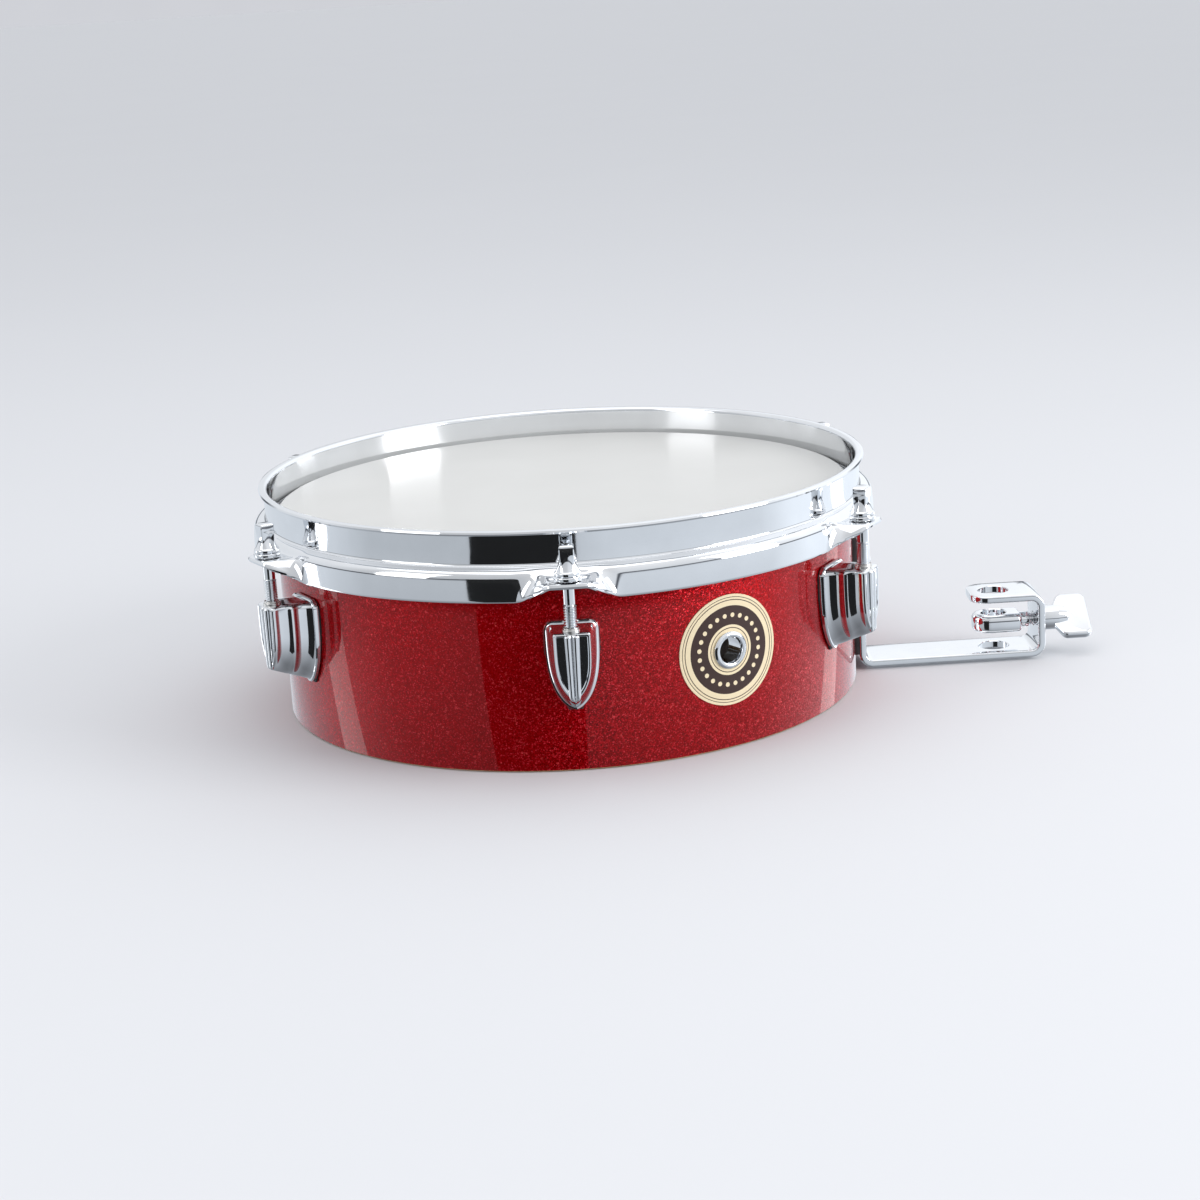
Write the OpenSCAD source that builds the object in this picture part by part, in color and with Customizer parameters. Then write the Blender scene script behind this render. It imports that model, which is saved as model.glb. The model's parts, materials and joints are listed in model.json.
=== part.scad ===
// Shallow single-headed snare drum: six single-ended lugs, one triple-flanged
// hoop, a rod bracket on its side and a parallel-action snare unit inside.
// Frame: origin at the centre of the shell's bottom edge, +Z up the drum's axis,
// +X towards the rod bracket, -Y towards the front lug. Sizes in millimetres.
// An azimuth is counted from the front, anticlockwise seen from above.

/* [Shell] */
// Outside diameter over the sparkle wrap
shell_d = 253; // [251:0.5:254]
// Depth of the shell from edge to edge
shell_depth = 88.9; // [88.5:0.1:89.2]
// Thickness of the plywood wall
ply_t = 6; // [5.5:0.1:6.2]
// Thickness of the sparkle wrap
wrap_t = 0.5; // [0.3:0.1:0.6]

/* [Badge and vent] */
// Azimuth of the vent hole and of the badge around it
vent_azimuth = 30; // [20:1:40]
// Height of the vent hole's centre
vent_z = 41.5; // [36:0.5:46]
// Diameter of the badge
badge_d = 46; // [30:1:50]
// Diameter of the air passage through the grommet
vent_bore_d = 10.2; // [8:0.1:10.6]

/* [Lugs] */
// Distance of a tension rod's axis from the drum's axis
rod_pitch_r = 142.4; // [142:0.1:143]
// Height of a lug's flat top face
lug_top_z = 62.4; // [61:0.1:64]
// Height of a lug's lowest point
lug_base_z = 26; // [24:0.5:28]
// Width of a lug where it meets the shell
lug_w = 22.4; // [20:0.2:24]
// How far a lug's front shield stands out from the shell
lug_reach = 19.5; // [19:0.1:20]

/* [Hoop and head] */
// Height of the hoop's top edge
hoop_top_z = 100.6; // [98:0.1:102]
// Outside radius of the hoop's lowest flange
hoop_r = 136.2; // [136:0.1:137]
// Height of the hoop's lower edge
hoop_base_z = 73; // [71:0.1:75]
// Width of the notch in the hoop under each ear
notch_w = 20; // [18:1:24]
// Thickness of the coated head film
film_t = 0.25; // [0.2:0.05:0.3]

/* [Tension rods] */
// Width across the flats of a rod's square head
rod_head_w = 6.2; // [5.8:0.1:6.4]
// Height of the top of a rod's head
rod_top_z = 97; // [95:0.5:99]
// Height of a rod's lower end
rod_end_z = 40; // [39:0.5:44]
// Thread diameter of a tension rod
thread_d = 5.5; // [5.3:0.1:5.6]

/* [Rod bracket] */
// Width of the bracket's steel strap
strap_w = 25; // [22:1:28]
// Thickness of the strap
strap_t = 3.2; // [2.8:0.1:3.4]
// Height of the underside of the strap's arm
arm_z = 1; // [0.5:0.5:2]
// Height of the underside of the strap's upper ear
ear_z = 26.8; // [25:0.1:28]
// Distance of the clamped rod's axis from the drum's axis
clamp_x = 190; // [188:0.5:191]
// Distance of the bracket's end wall from the drum's axis
wall_x = 208; // [207:0.5:209]
// Radius of the eye that takes the rod
eye_bore_r = 5.6; // [5.3:0.1:5.8]
// Radius of the rod holes in the strap
rod_hole_r = 6.75; // [6.2:0.05:7]

/* [Snare unit] */
// Azimuth of the strainer on the rear of the shell
strainer_azimuth = 150; // [145:1:155]
// Number of snare wires
wire_count = 10; // [8:2:12]
// Spacing of the snare wires
wire_pitch = 3.6; // [3:0.1:4]
// Free length of the snare wires
wire_len = 176; // [160:2:180]
// Height of the throw-off lever's pivot
lever_z = 36; // [36:0.5:37]
// Angle through which the lever swings
lever_swing = 80; // [80:1:84]

/* [Hidden] */
$fn = 96;
eps = 0.01;
fit = 0.05;          // radial clearance of a running fit
skin_gap = 0.02;     // air between the wrap and what lies on it

// Shell and its holes
shell_r = shell_d / 2;
ply_r = shell_r - wrap_t;
inner_r = ply_r - ply_t;
edge_r = ply_r - 1.6;    // apex of the bearing edge
edge_chamfer = 0.8;      // on the shell's lower edge, inside
edge_round = 0.4;        // on the shell's lower edge, outside
wrap_low_z = 0.5;
wrap_high_z = shell_depth - 2.4;
gasket_t = 0.8;
seat_r = shell_r + gasket_t;
drill_h = ply_t + 12;
m4_r = 2;
m6_r = 3;

// Badge and grommet
badge_t = 0.4;
barrel_r = vent_bore_d / 2 + 0.8;
barrel_hole_r = barrel_r + 0.1;
barrel_start_r = inner_r - 1.6;
curl_r = barrel_r + 1.6;     // rolled edge inside the shell
curl_t = 1.2;
flange_r = barrel_r + 1.9;   // flared edge over the badge
flange_t = 1.3;

// Lugs, counted anticlockwise from the front
lug_azimuths = [0, 60, 120, 180, 240, 300];
lug_screw_zs = [36, 54];
lug_screw_end_r = 136;
lug_front_r = shell_r + lug_reach;
rib_r = 1.5;
rib_x = 1.4;
rib_low_z = 34;
rib_high_z = lug_top_z - 0.6;
nut_r = 3.5;
nut_z = 44;
nut_collar_r = 3.9;
nut_collar_h = 1.8;
// Half width of a lug at each distance out from the shell, ridge by ridge
lug_steps = [[lug_w / 2, -1], [lug_w / 2, 1.5], [9.6, 10.5], [7.5, lug_reach]];
scoop_sag = 0.8;

// Fasteners inside the shell
washer_t = 1;
washer_r = 5;
washer_out_r = inner_r - 0.15;
head_h = 2.8;
head_r = 3.8;
bar_t = 1.6;         // thickness of the guide bar's tabs under two lug screws

// Hoop section
wall_in_r = hoop_r - 7.6;
wall_out_r = hoop_r - 5.6;
lip_r = hoop_r - 3.3;
lip_t = 2;
lip_edge = 0.6;
skirt_in_r = hoop_r - 1.8;
ear_top_z = 83.2;
ear_t = 2.7;
ear_out_r = 148.6;
ear_corner_r = 4;

// Head and flesh hoop
film_z = shell_depth + 0.05;
film_skirt_r = shell_r + 0.5;
flesh_base_z = 76.2;

// Tension rods
rod_r = thread_d / 2;
shank_r = 2.43;
shank_end_z = 71;
rod_washer_t = 1.6;
rod_washer_r = 5.6;
rod_flange_t = 1.1;
rod_cone_h = 2.6;

// Rod bracket
bend_in_r = 3;
bend_out_r = bend_in_r + strap_t;
leg_x = shell_r + 1.3;
leg_top_z = 60;
ear_tip_x = clamp_x - 11.4;
ear_round_r = 8;
clamp_z = (arm_z + strap_t + ear_z) / 2;
bolt_zs = [20, 46];
bolt_end_x = inner_r - 10;
plate_t = 2;
plate_w = 28;
plate_x = sqrt(inner_r * inner_r - plate_w * plate_w / 4) - 0.05 - plate_t;
hex_w = 10;
eye_h = 8.4;
eye_r = 7.8;
eye_nose_x = clamp_x - 2;
eye_back_x = clamp_x + 12;
collar_h = 3.8;
bolt_tip_x = wall_x + strap_t + 10;
nut_seat_x = wall_x + strap_t + 0.1;
hub_r = 5.5;
hub_end_x = nut_seat_x + 13;
wing_start_x = nut_seat_x + 5.5;
wing_end_x = nut_seat_x + 21.7;
wing_reach = 12;
wing_t = 4;
wing_tilt = 35;

// Snare unit: in its own frame the strainer is at -Y
pivot_y = -141;
lever_pin_r = 2;
cam_throw = 3.11;
cam_r = 5.35;
cam_window = cam_r + 0.1;
cam_x = 6.8;
hub_x = 4;
cam_rise = cam_throw * sin(lever_swing / 2);
cam_out = cam_throw * cos(lever_swing / 2);
slider_in_y = -134.2;
slider_out_y = -151.4;
slider_x = 7;
knob_y = -143.5;
knob_r = 6;
arm_x = 4.5;
arm_low_z = 54;
arm_high_z = 60;
slot_x = 5.5;
slot_low_z = 48;
slot_high_z = 61;
base_x = 14;
base_out_y = -133.9;
base_low_z = 18;
base_high_z = 68;
cheek_in_x = slider_x + 0.2;
cheek_x = cheek_in_x + 3;
base_screws = [[0, 23], [-10, 58], [10, 58]];
wire_r = 1;          // outside radius of a wire's coil
wire_top_z = film_z - 0.15;
end_bar_y = wire_len / 2 - 2;
end_bar_d = 5;
end_bar_x = (wire_count + 1) * wire_pitch / 2;
guide_pin_r = 2.5;
guide_bar_z = 31;
guide_bar_h = 10;
guide_bar_w = 2;
tab_len = 16;
tab_in_r = washer_out_r - washer_t - bar_t;
tab_end_x = tab_in_r * sin(30) - tab_len / 2 * cos(30);
guide_y = tab_in_r * cos(30) + tab_len / 2 * sin(30) + 0.4;

module at_azimuth(a) {
    rotate([0, 0, a]) children();
}

// Puts a +Z shape at a radius and height, pointing straight out at the front
module outward(r, z) {
    translate([0, -r, z]) rotate([90, 0, 0]) children();
}

module outward_hole(hole_r, z) {
    outward(inner_r - 6, z) cylinder(r = hole_r, h = drill_h);
}

// Waste piece outside a round of radius r, at the corner of a plate
module corner_waste(r) {
    difference() {
        translate([-eps, -eps]) square(r + eps);
        translate([r, r]) circle(r);
    }
}

module rounded_rect(w, d, r) {
    translate([-w / 2 + r, 0]) square([w - 2 * r, d]);
    translate([-w / 2, r]) square([w, d - 2 * r]);
    for (x = [-1, 1], y = [r, d - r]) translate([x * (w / 2 - r), y]) circle(r);
}

// ---- Shell, wrap, badge and vent ----

module wall_holes() {
    for (a = lug_azimuths, z = lug_screw_zs) at_azimuth(a) outward_hole(m4_r + 0.1, z);
    for (z = bolt_zs) at_azimuth(90) outward_hole(m6_r + 0.1, z);
    at_azimuth(vent_azimuth) outward_hole(barrel_hole_r, vent_z);
    at_azimuth(strainer_azimuth) strainer_holes();
}

module strainer_holes() {
    strainer_slot();
    for (p = base_screws) translate([p[0], 0, 0]) outward_hole(m4_r + 0.1, p[1]);
}

module strainer_slot() {
    translate([-slot_x, base_out_y - 1, slot_low_z])
        cube([2 * slot_x, 20, slot_high_z - slot_low_z]);
}

module shell() {
    bevel = edge_r - inner_r;
    round_over = ply_r - edge_r;
    color("burlywood") difference() {
        rotate_extrude() polygon([
            [inner_r, edge_chamfer], [inner_r + edge_chamfer, 0],
            [ply_r - edge_round, 0], [ply_r, edge_round],
            [ply_r, shell_depth - round_over], [edge_r, shell_depth],
            [inner_r, shell_depth - bevel]
        ]);
        wall_holes();
    }
}

module wrap() {
    color("firebrick") difference() {
        rotate_extrude() translate([ply_r, wrap_low_z]) square([wrap_t, wrap_high_z - wrap_low_z]);
        wall_holes();
    }
}

module badge() {
    color("wheat") at_azimuth(vent_azimuth) difference() {
        intersection() {
            rotate_extrude() translate([shell_r + skin_gap, vent_z - badge_d])
                square([badge_t - skin_gap, 2 * badge_d]);
            outward(inner_r, vent_z) cylinder(d = badge_d, h = drill_h);
        }
        outward(inner_r, vent_z) cylinder(r = barrel_hole_r, h = drill_h);
    }
}

module vent_grommet() {
    seat_on_badge_r = shell_r + badge_t;
    color("silver") at_azimuth(vent_azimuth) difference() {
        union() {
            outward(barrel_start_r, vent_z)
                cylinder(r = barrel_r, h = seat_on_badge_r + flange_t - 0.2 - barrel_start_r);
            outward(barrel_start_r, vent_z) cylinder(r = curl_r, h = curl_t);
            outward(seat_on_badge_r, vent_z) cylinder(r1 = flange_r, r2 = barrel_r + 0.9, h = flange_t);
        }
        outward(inner_r - 4, vent_z) cylinder(d = vent_bore_d, h = drill_h);
    }
}

// ---- Lugs and what holds them ----

// Circle that hollows the lug's side between two ridges
module scoop(p, q) {
    chord = norm(q - p);
    r = chord * chord / (8 * scoop_sag) + scoop_sag / 2;
    out = [p[1] - q[1], q[0] - p[0]] / chord;
    translate((p + q) / 2 + out * (r - scoop_sag)) circle(r);
}

function lug_side(s) = [for (p = lug_steps) [s * p[0], -shell_r - p[1]]];

module lug_plan() {
    right = lug_side(1);
    left = lug_side(-1);
    difference() {
        polygon(concat(right, [for (i = [len(left) - 1:-1:0]) left[i]]));
        for (i = [1, 2]) {
            scoop(right[i], right[i + 1]);
            scoop(left[i + 1], left[i]);
        }
    }
}

module lug_front() {
    half = [
        [lug_w / 2 - 2, lug_top_z], [lug_w / 2, lug_top_z - 3], [lug_w / 2, 50],
        [9.4, 41], [6, 33], [2.8, lug_base_z]
    ];
    last = len(half) - 1;
    polygon(concat(half, [for (i = [last:-1:0]) [-half[i][0], half[i][1]]]));
}

module lug_profile() {
    polygon([
        [-shell_r + 2, lug_base_z], [-shell_r - 1, lug_base_z],
        [-lug_front_r + 2.4, 33], [-lug_front_r, 35], [-lug_front_r, lug_top_z],
        [-shell_r + 2, lug_top_z]
    ]);
}

module lug() {
    color("silver") difference() {
        union() {
            intersection() {
                translate([0, 0, lug_base_z]) linear_extrude(lug_top_z - lug_base_z) lug_plan();
                outward(shell_r - 2, 0) linear_extrude(lug_reach + 4) lug_front();
                translate([-lug_w, 0, 0]) rotate([90, 0, 90])
                    linear_extrude(2 * lug_w) lug_profile();
            }
            for (x = [-rib_x, rib_x]) translate([x, -lug_front_r + 0.4, rib_low_z])
                cylinder(r = rib_r, h = rib_high_z - rib_low_z);
        }
        cylinder(r = seat_r, h = shell_depth, $fn = 180);
        translate([0, -rod_pitch_r, rod_end_z - 2]) cylinder(r = nut_r + fit, h = shell_depth);
        for (z = lug_screw_zs) outward(shell_r, z) cylinder(r = m4_r + fit, h = 10);
    }
}

module lug_gaskets() {
    color("dimgray") for (a = lug_azimuths) at_azimuth(a) difference() {
        intersection() {
            rotate_extrude() translate([shell_r + skin_gap, lug_base_z])
                square([gasket_t - skin_gap, lug_top_z - lug_base_z]);
            outward(shell_r - 2, 0) linear_extrude(8) lug_front();
        }
        for (z = lug_screw_zs) outward_hole(m4_r + 0.1, z);
    }
}

module swivel_nuts() {
    color("gainsboro") for (a = lug_azimuths) at_azimuth(a)
        translate([0, -rod_pitch_r, nut_z]) difference() {
            union() {
                cylinder(r = nut_r, h = lug_top_z - nut_z);
                translate([0, 0, lug_top_z - nut_z]) cylinder(r = nut_collar_r, h = nut_collar_h);
            }
            translate([0, 0, -1]) cylinder(r = rod_r + fit, h = lug_top_z - nut_z + 4);
        }
}

// Pan-headed screw from inside the shell, its cross recess towards the axis
module inside_screw(z, under_head_r, end_r) {
    outward(under_head_r - eps, z) cylinder(r = m4_r, h = end_r - under_head_r);
    difference() {
        outward(under_head_r - head_h, z) cylinder(r1 = head_r - 0.6, r2 = head_r, h = head_h);
        for (turn = [0, 90]) outward(under_head_r - head_h - 1, z) rotate([0, 0, turn])
            translate([-2, -0.4, 0]) cube([4, 0.8, 2.6]);
    }
}

module inside_washer(z, low_r) {
    difference() {
        outward(low_r, z) cylinder(r = washer_r, h = washer_t);
        outward(low_r - 1, z) cylinder(r = m4_r + 0.2, h = washer_t + 2);
    }
}

// The guide bar's tabs lie under the lower screws of lugs 1 and 6
function under_bar(a, z) = (a == 0 || a == 300) && z == lug_screw_zs[0];
function head_seat_r(a, z) = washer_out_r - washer_t - (under_bar(a, z) ? bar_t : 0);

module lug_screws() {
    color("lightgray") for (a = lug_azimuths, z = lug_screw_zs)
        at_azimuth(a) inside_screw(z, head_seat_r(a, z), lug_screw_end_r);
}

module lug_washers() {
    color("gray") for (a = lug_azimuths, z = lug_screw_zs)
        at_azimuth(a) inside_washer(z, washer_out_r - washer_t);
}

// ---- Rod bracket ----

module bend(x, z, turn) {
    translate([x, z]) rotate(turn) intersection() {
        difference() {
            circle(bend_out_r);
            circle(bend_in_r);
        }
        square(bend_out_r + 1);
    }
}

module strap_section() {
    low = arm_z + bend_out_r;
    high = ear_z + strap_t - bend_out_r;
    near = leg_x + bend_out_r;
    far = wall_x + strap_t - bend_out_r;
    translate([leg_x, low]) square([strap_t, leg_top_z - low]);
    bend(near, low, 180);
    translate([near, arm_z]) square([far - near, strap_t]);
    bend(far, low, 270);
    translate([wall_x, low]) square([strap_t, high - low]);
    bend(far, high, 0);
    translate([ear_tip_x, ear_z]) square([far - ear_tip_x, strap_t]);
}

module mount_bracket() {
    color("silver") difference() {
        translate([0, strap_w / 2, 0]) rotate([90, 0, 0]) linear_extrude(strap_w) strap_section();
        for (s = [-1, 1]) {
            translate([ear_tip_x, s * strap_w / 2, ear_z - 1]) mirror_y(-s)
                linear_extrude(strap_t + 2) corner_waste(ear_round_r);
            translate([leg_x - 1, s * strap_w / 2, leg_top_z]) mirror_y(-s)
                rotate([90, 90, 90]) linear_extrude(strap_t + 2) corner_waste(ear_round_r);
        }
        translate([clamp_x, 0, -1]) cylinder(r = rod_hole_r, h = 40);
        translate([wall_x - 2, 0, clamp_z]) rotate([0, 90, 0]) cylinder(r = m6_r + 0.3, h = 8);
        for (z = bolt_zs) translate([leg_x - 2, 0, z]) rotate([0, 90, 0])
            cylinder(r = m6_r + 0.1, h = 8);
    }
}

// Mirrors its children to the -Y side when s is negative
module mirror_y(s) {
    mirror([0, s < 0 ? 1 : 0, 0]) children();
}

module bracket_pad() {
    color("dimgray") difference() {
        translate([shell_r - 2, -strap_w / 2, arm_z + bend_out_r])
            cube([leg_x - shell_r + 2, strap_w, leg_top_z - arm_z - bend_out_r]);
        cylinder(r = shell_r, h = shell_depth, $fn = 180);
        for (z = bolt_zs) at_azimuth(90) outward_hole(m6_r + 0.1, z);
    }
}

module backing_plate() {
    color("gray") difference() {
        translate([plate_x, 0, 6]) rotate([90, 0, 90]) linear_extrude(plate_t)
            rounded_rect(plate_w, 54, 5);
        for (z = bolt_zs) translate([plate_x - 1, 0, z]) rotate([0, 90, 0])
            cylinder(r = m6_r + 0.1, h = 4);
    }
}

module bracket_bolts() {
    head_x = leg_x + strap_t;
    color("silver") for (z = bolt_zs) translate([0, 0, z]) rotate([0, 90, 0]) {
        translate([0, 0, bolt_end_x]) cylinder(r = m6_r, h = head_x - bolt_end_x + eps);
        translate([0, 0, head_x]) cylinder(d = hex_w / cos(30), h = 4, $fn = 6);
    }
}

module bracket_nuts() {
    color("lightgray") for (z = bolt_zs) translate([plate_x - 5, 0, z]) rotate([0, 90, 0])
        difference() {
            cylinder(d = hex_w / cos(30), h = 5, $fn = 6);
            translate([0, 0, -1]) cylinder(r = m6_r + fit, h = 7);
        }
}

module eye_bolt() {
    color("silver") difference() {
        union() {
            translate([0, 0, clamp_z - eye_h / 2]) linear_extrude(eye_h) {
                translate([eye_nose_x, 0]) circle(eye_r);
                translate([eye_nose_x, -eye_r]) square([eye_back_x - eye_nose_x, 2 * eye_r]);
            }
            translate([eye_back_x - eps, 0, clamp_z]) rotate([0, 90, 0]) {
                cylinder(r = m6_r + 0.5, h = collar_h);
                cylinder(r = m6_r, h = bolt_tip_x - eye_back_x);
            }
        }
        translate([clamp_x, 0, 0]) cylinder(r = eye_bore_r, h = 40);
    }
}

// Flat T-shaped wing in the plane of the bolt's axis
module wing_outline() {
    len_x = wing_end_x - wing_start_x;
    polygon([
        [0, -hub_r + 1], [4.5, -wing_reach], [len_x, -wing_reach],
        [len_x, wing_reach], [4.5, wing_reach], [0, hub_r - 1]
    ]);
}

module wing_nut() {
    wing_r = 3;
    color("silver") translate([nut_seat_x, 0, clamp_z]) rotate([wing_tilt, 0, 0]) difference() {
        union() {
            rotate([0, 90, 0]) cylinder(r = hub_r, h = 9);
            translate([9, 0, 0]) rotate([0, 90, 0])
                cylinder(r1 = hub_r, r2 = wing_t / 2 + 1, h = hub_end_x - nut_seat_x - 9);
            difference() {
                translate([wing_start_x - nut_seat_x, 0, -wing_t / 2])
                    linear_extrude(wing_t) wing_outline();
                for (s = [-1, 1]) translate([wing_end_x - nut_seat_x, s * wing_reach, -wing_t])
                    mirror([1, 0, 0]) mirror_y(-s) linear_extrude(2 * wing_t) corner_waste(wing_r);
            }
        }
        translate([-1, 0, 0]) rotate([0, 90, 0]) cylinder(r = m6_r + fit, h = 12.2);
    }
}

// ---- Hoop, head and tension rods ----

module hoop_ring() {
    shelf_z = ear_top_z + 2.7;
    rotate_extrude($fn = 180) polygon([
        [wall_in_r, hoop_top_z], [lip_r - lip_edge, hoop_top_z], [lip_r, hoop_top_z - lip_edge],
        [lip_r, hoop_top_z - lip_t + lip_edge], [lip_r - lip_edge, hoop_top_z - lip_t],
        [wall_out_r, hoop_top_z - lip_t],
        [wall_out_r, shelf_z + 0.7], [wall_out_r + 0.6, shelf_z],
        [hoop_r - 1.6, shelf_z - 1], [hoop_r - 0.2, shelf_z - 2.4], [hoop_r, shelf_z - 3.2],
        [hoop_r, hoop_base_z], [skirt_in_r, hoop_base_z], [skirt_in_r, ear_top_z - 0.8],
        [skirt_in_r - 0.5, ear_top_z - 0.1], [wall_out_r, shelf_z - 1.7], [wall_in_r, shelf_z - 0.3]
    ]);
}

module hoop_notch() {
    top = ear_top_z - ear_t;
    drop = top - hoop_base_z + 1;
    outward(skirt_in_r - 1, 0) linear_extrude(6) polygon([
        [-notch_w / 2, top], [notch_w / 2, top],
        [notch_w / 2 + 2, top - drop / 2], [notch_w / 2 + 8, top - drop],
        [-notch_w / 2 - 8, top - drop], [-notch_w / 2 - 2, top - drop / 2]
    ]);
}

module hoop_ear() {
    translate([0, -ear_out_r, ear_top_z - ear_t]) linear_extrude(ear_t)
        rounded_rect(notch_w, ear_out_r - skirt_in_r + 1, ear_corner_r);
}

module counter_hoop() {
    color("silver") difference() {
        union() {
            difference() {
                hoop_ring();
                for (a = lug_azimuths) at_azimuth(a) hoop_notch();
            }
            for (a = lug_azimuths) at_azimuth(a) hoop_ear();
        }
        for (a = lug_azimuths) at_azimuth(a) translate([0, -rod_pitch_r, ear_top_z - 6])
            cylinder(r = rod_r + 0.5, h = 8);
    }
}

module flesh_hoop() {
    in_r = film_skirt_r + film_t + 0.05;
    out_r = in_r + 5;
    color("lightgray") rotate_extrude() polygon([
        [in_r, flesh_base_z + 0.6], [in_r + 0.6, flesh_base_z], [out_r - 1, flesh_base_z],
        [out_r, flesh_base_z + 1], [out_r, ear_top_z - 0.9], [out_r - 0.9, ear_top_z],
        [in_r + 1, ear_top_z], [in_r, ear_top_z - 1]
    ]);
}

module drum_head() {
    bend_r = edge_r + 0.5;
    color("ivory") rotate_extrude() polygon([
        [0, film_z], [bend_r, film_z], [film_skirt_r - 0.1, film_z - 2.2],
        [film_skirt_r, flesh_base_z + 1], [film_skirt_r + film_t, flesh_base_z + 1],
        [film_skirt_r + film_t - 0.1, film_z - 2.1], [bend_r + 0.1, film_z + film_t],
        [0, film_z + film_t]
    ]);
}

module rod_washers() {
    color("whitesmoke") for (a = lug_azimuths) at_azimuth(a)
        translate([0, -rod_pitch_r, ear_top_z]) difference() {
            cylinder(r = rod_washer_r, h = rod_washer_t);
            translate([0, 0, -1]) cylinder(r = rod_r + 0.1, h = 4);
        }
}

module tension_rod() {
    seat_z = ear_top_z + rod_washer_t;
    cone_z = seat_z + rod_flange_t;
    head_z = cone_z + rod_cone_h;
    color("silver") translate([0, -rod_pitch_r, 0]) {
        translate([-rod_head_w / 2, -rod_head_w / 2, cone_z])
            cube([rod_head_w, rod_head_w, rod_top_z - cone_z]);
        translate([0, 0, cone_z]) cylinder(r1 = rod_washer_r - 0.8, r2 = rod_head_w / 2, h = head_z - cone_z);
        translate([0, 0, seat_z]) cylinder(r = rod_washer_r - 0.4, h = rod_flange_t);
        translate([0, 0, shank_end_z - eps]) cylinder(r = shank_r, h = seat_z - shank_end_z + 2 * eps);
        translate([0, 0, rod_end_z]) cylinder(r = rod_r, h = shank_end_z - rod_end_z);
    }
}

// ---- Snare unit, drawn with the strainer at the front and turned into place ----

module lever_bore(r) {
    translate([-base_x, pivot_y, lever_z]) rotate([0, 90, 0]) cylinder(r = r, h = 2 * base_x);
}

module strainer_base() {
    color("silver") at_azimuth(strainer_azimuth) difference() {
        union() {
            translate([0, -shell_r + 2, base_low_z]) rotate([90, 0, 0])
                linear_extrude(-base_out_y - shell_r + 2)
                rounded_rect(2 * base_x, base_high_z - base_low_z, 5);
            for (s = [-1, 1]) translate([s < 0 ? -cheek_x : cheek_in_x, pivot_y - 5, lever_z - 7])
                cube([cheek_x - cheek_in_x, base_out_y - pivot_y + 5 + eps, 14]);
        }
        cylinder(r = seat_r, h = shell_depth, $fn = 180);
        strainer_slot();
        for (p = base_screws) translate([p[0], 0, 0]) outward(shell_r - 2, p[1])
            cylinder(r = m4_r + fit, h = 7);
        lever_bore(lever_pin_r);
    }
}

module strainer_gasket() {
    color("dimgray") at_azimuth(strainer_azimuth) difference() {
        intersection() {
            rotate_extrude() translate([shell_r + skin_gap, base_low_z])
                square([gasket_t - skin_gap, base_high_z - base_low_z]);
            outward(shell_r - 2, base_low_z) linear_extrude(8)
                rounded_rect(2 * base_x, base_high_z - base_low_z, 5);
        }
        strainer_holes();
    }
}

module strainer_screws() {
    under_head_r = sqrt(inner_r * inner_r - 100) - 0.4;
    color("lightgray") at_azimuth(strainer_azimuth) for (p = base_screws)
        translate([p[0], 0, 0]) inside_screw(p[1], under_head_r - 0.4, shell_r + 4.5);
}

module lever_pin() {
    color("gainsboro") at_azimuth(strainer_azimuth) translate([-cheek_x - 0.5, pivot_y, lever_z])
        rotate([0, 90, 0]) cylinder(r = lever_pin_r, h = 2 * cheek_x + 1);
}

// One eccentric cam on each side of the hub turns in a window of the slider
module throw_off_lever() {
    grip_out_y = -155.6;
    grip_in_y = -152.2;
    grip_top_z = 84;
    arm_half = 3;
    color("silver") at_azimuth(strainer_azimuth) difference() {
        union() {
            translate([-hub_x, pivot_y, lever_z]) rotate([0, 90, 0]) cylinder(r = 5.5, h = 2 * hub_x);
            translate([-cam_x, pivot_y - cam_out, lever_z + cam_rise]) rotate([0, 90, 0])
                cylinder(r = cam_r, h = 2 * cam_x);
            translate([-hub_x, grip_out_y, lever_z - arm_half])
                cube([2 * hub_x, pivot_y - grip_out_y, 2 * arm_half]);
            translate([-hub_x, grip_out_y, lever_z - arm_half])
                cube([2 * hub_x, grip_in_y - grip_out_y, grip_top_z - lever_z - 6]);
            translate([0, grip_in_y, grip_top_z - 26]) rotate([90, 0, 0])
                linear_extrude(grip_in_y - grip_out_y) rounded_rect(18, 26, 6);
        }
        lever_bore(lever_pin_r + fit);
    }
}

module snare_slider() {
    window_y = pivot_y - (cam_out + cam_throw) / 2;
    window_half = cam_window + (cam_throw - cam_out) / 2;
    color("lightgray") at_azimuth(strainer_azimuth) difference() {
        translate([-slider_x, slider_out_y, 26]) cube([2 * slider_x, slider_in_y - slider_out_y, 40]);
        translate([-hub_x - 0.2, slider_out_y - 1, 20])
            cube([2 * hub_x + 0.4, slider_in_y - slider_out_y + 2, 28]);
        translate([-slider_x - 1, window_y - window_half, lever_z + cam_rise - cam_window])
            cube([2 * slider_x + 2, 2 * window_half, 2 * cam_window]);
        translate([-slider_x - 1, -148.4, arm_low_z - 1.6])
            cube([2 * slider_x + 2, 20, arm_high_z - arm_low_z + 1.8]);
        translate([0, knob_y, 49.5]) cylinder(r = m4_r + fit, h = 20);
    }
}

module snare_knob() {
    flute_r = 1.2;
    color("silver") at_azimuth(strainer_azimuth) translate([0, knob_y, 0]) {
        translate([0, 0, 50]) cylinder(r = m4_r, h = 17);
        translate([0, 0, 66.1]) difference() {
            cylinder(r = knob_r, h = 9);
            for (i = [0:11]) rotate([0, 0, i * 30]) translate([knob_r + 0.5, 0, -1])
                cylinder(r = flute_r, h = 11);
        }
    }
}

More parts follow.
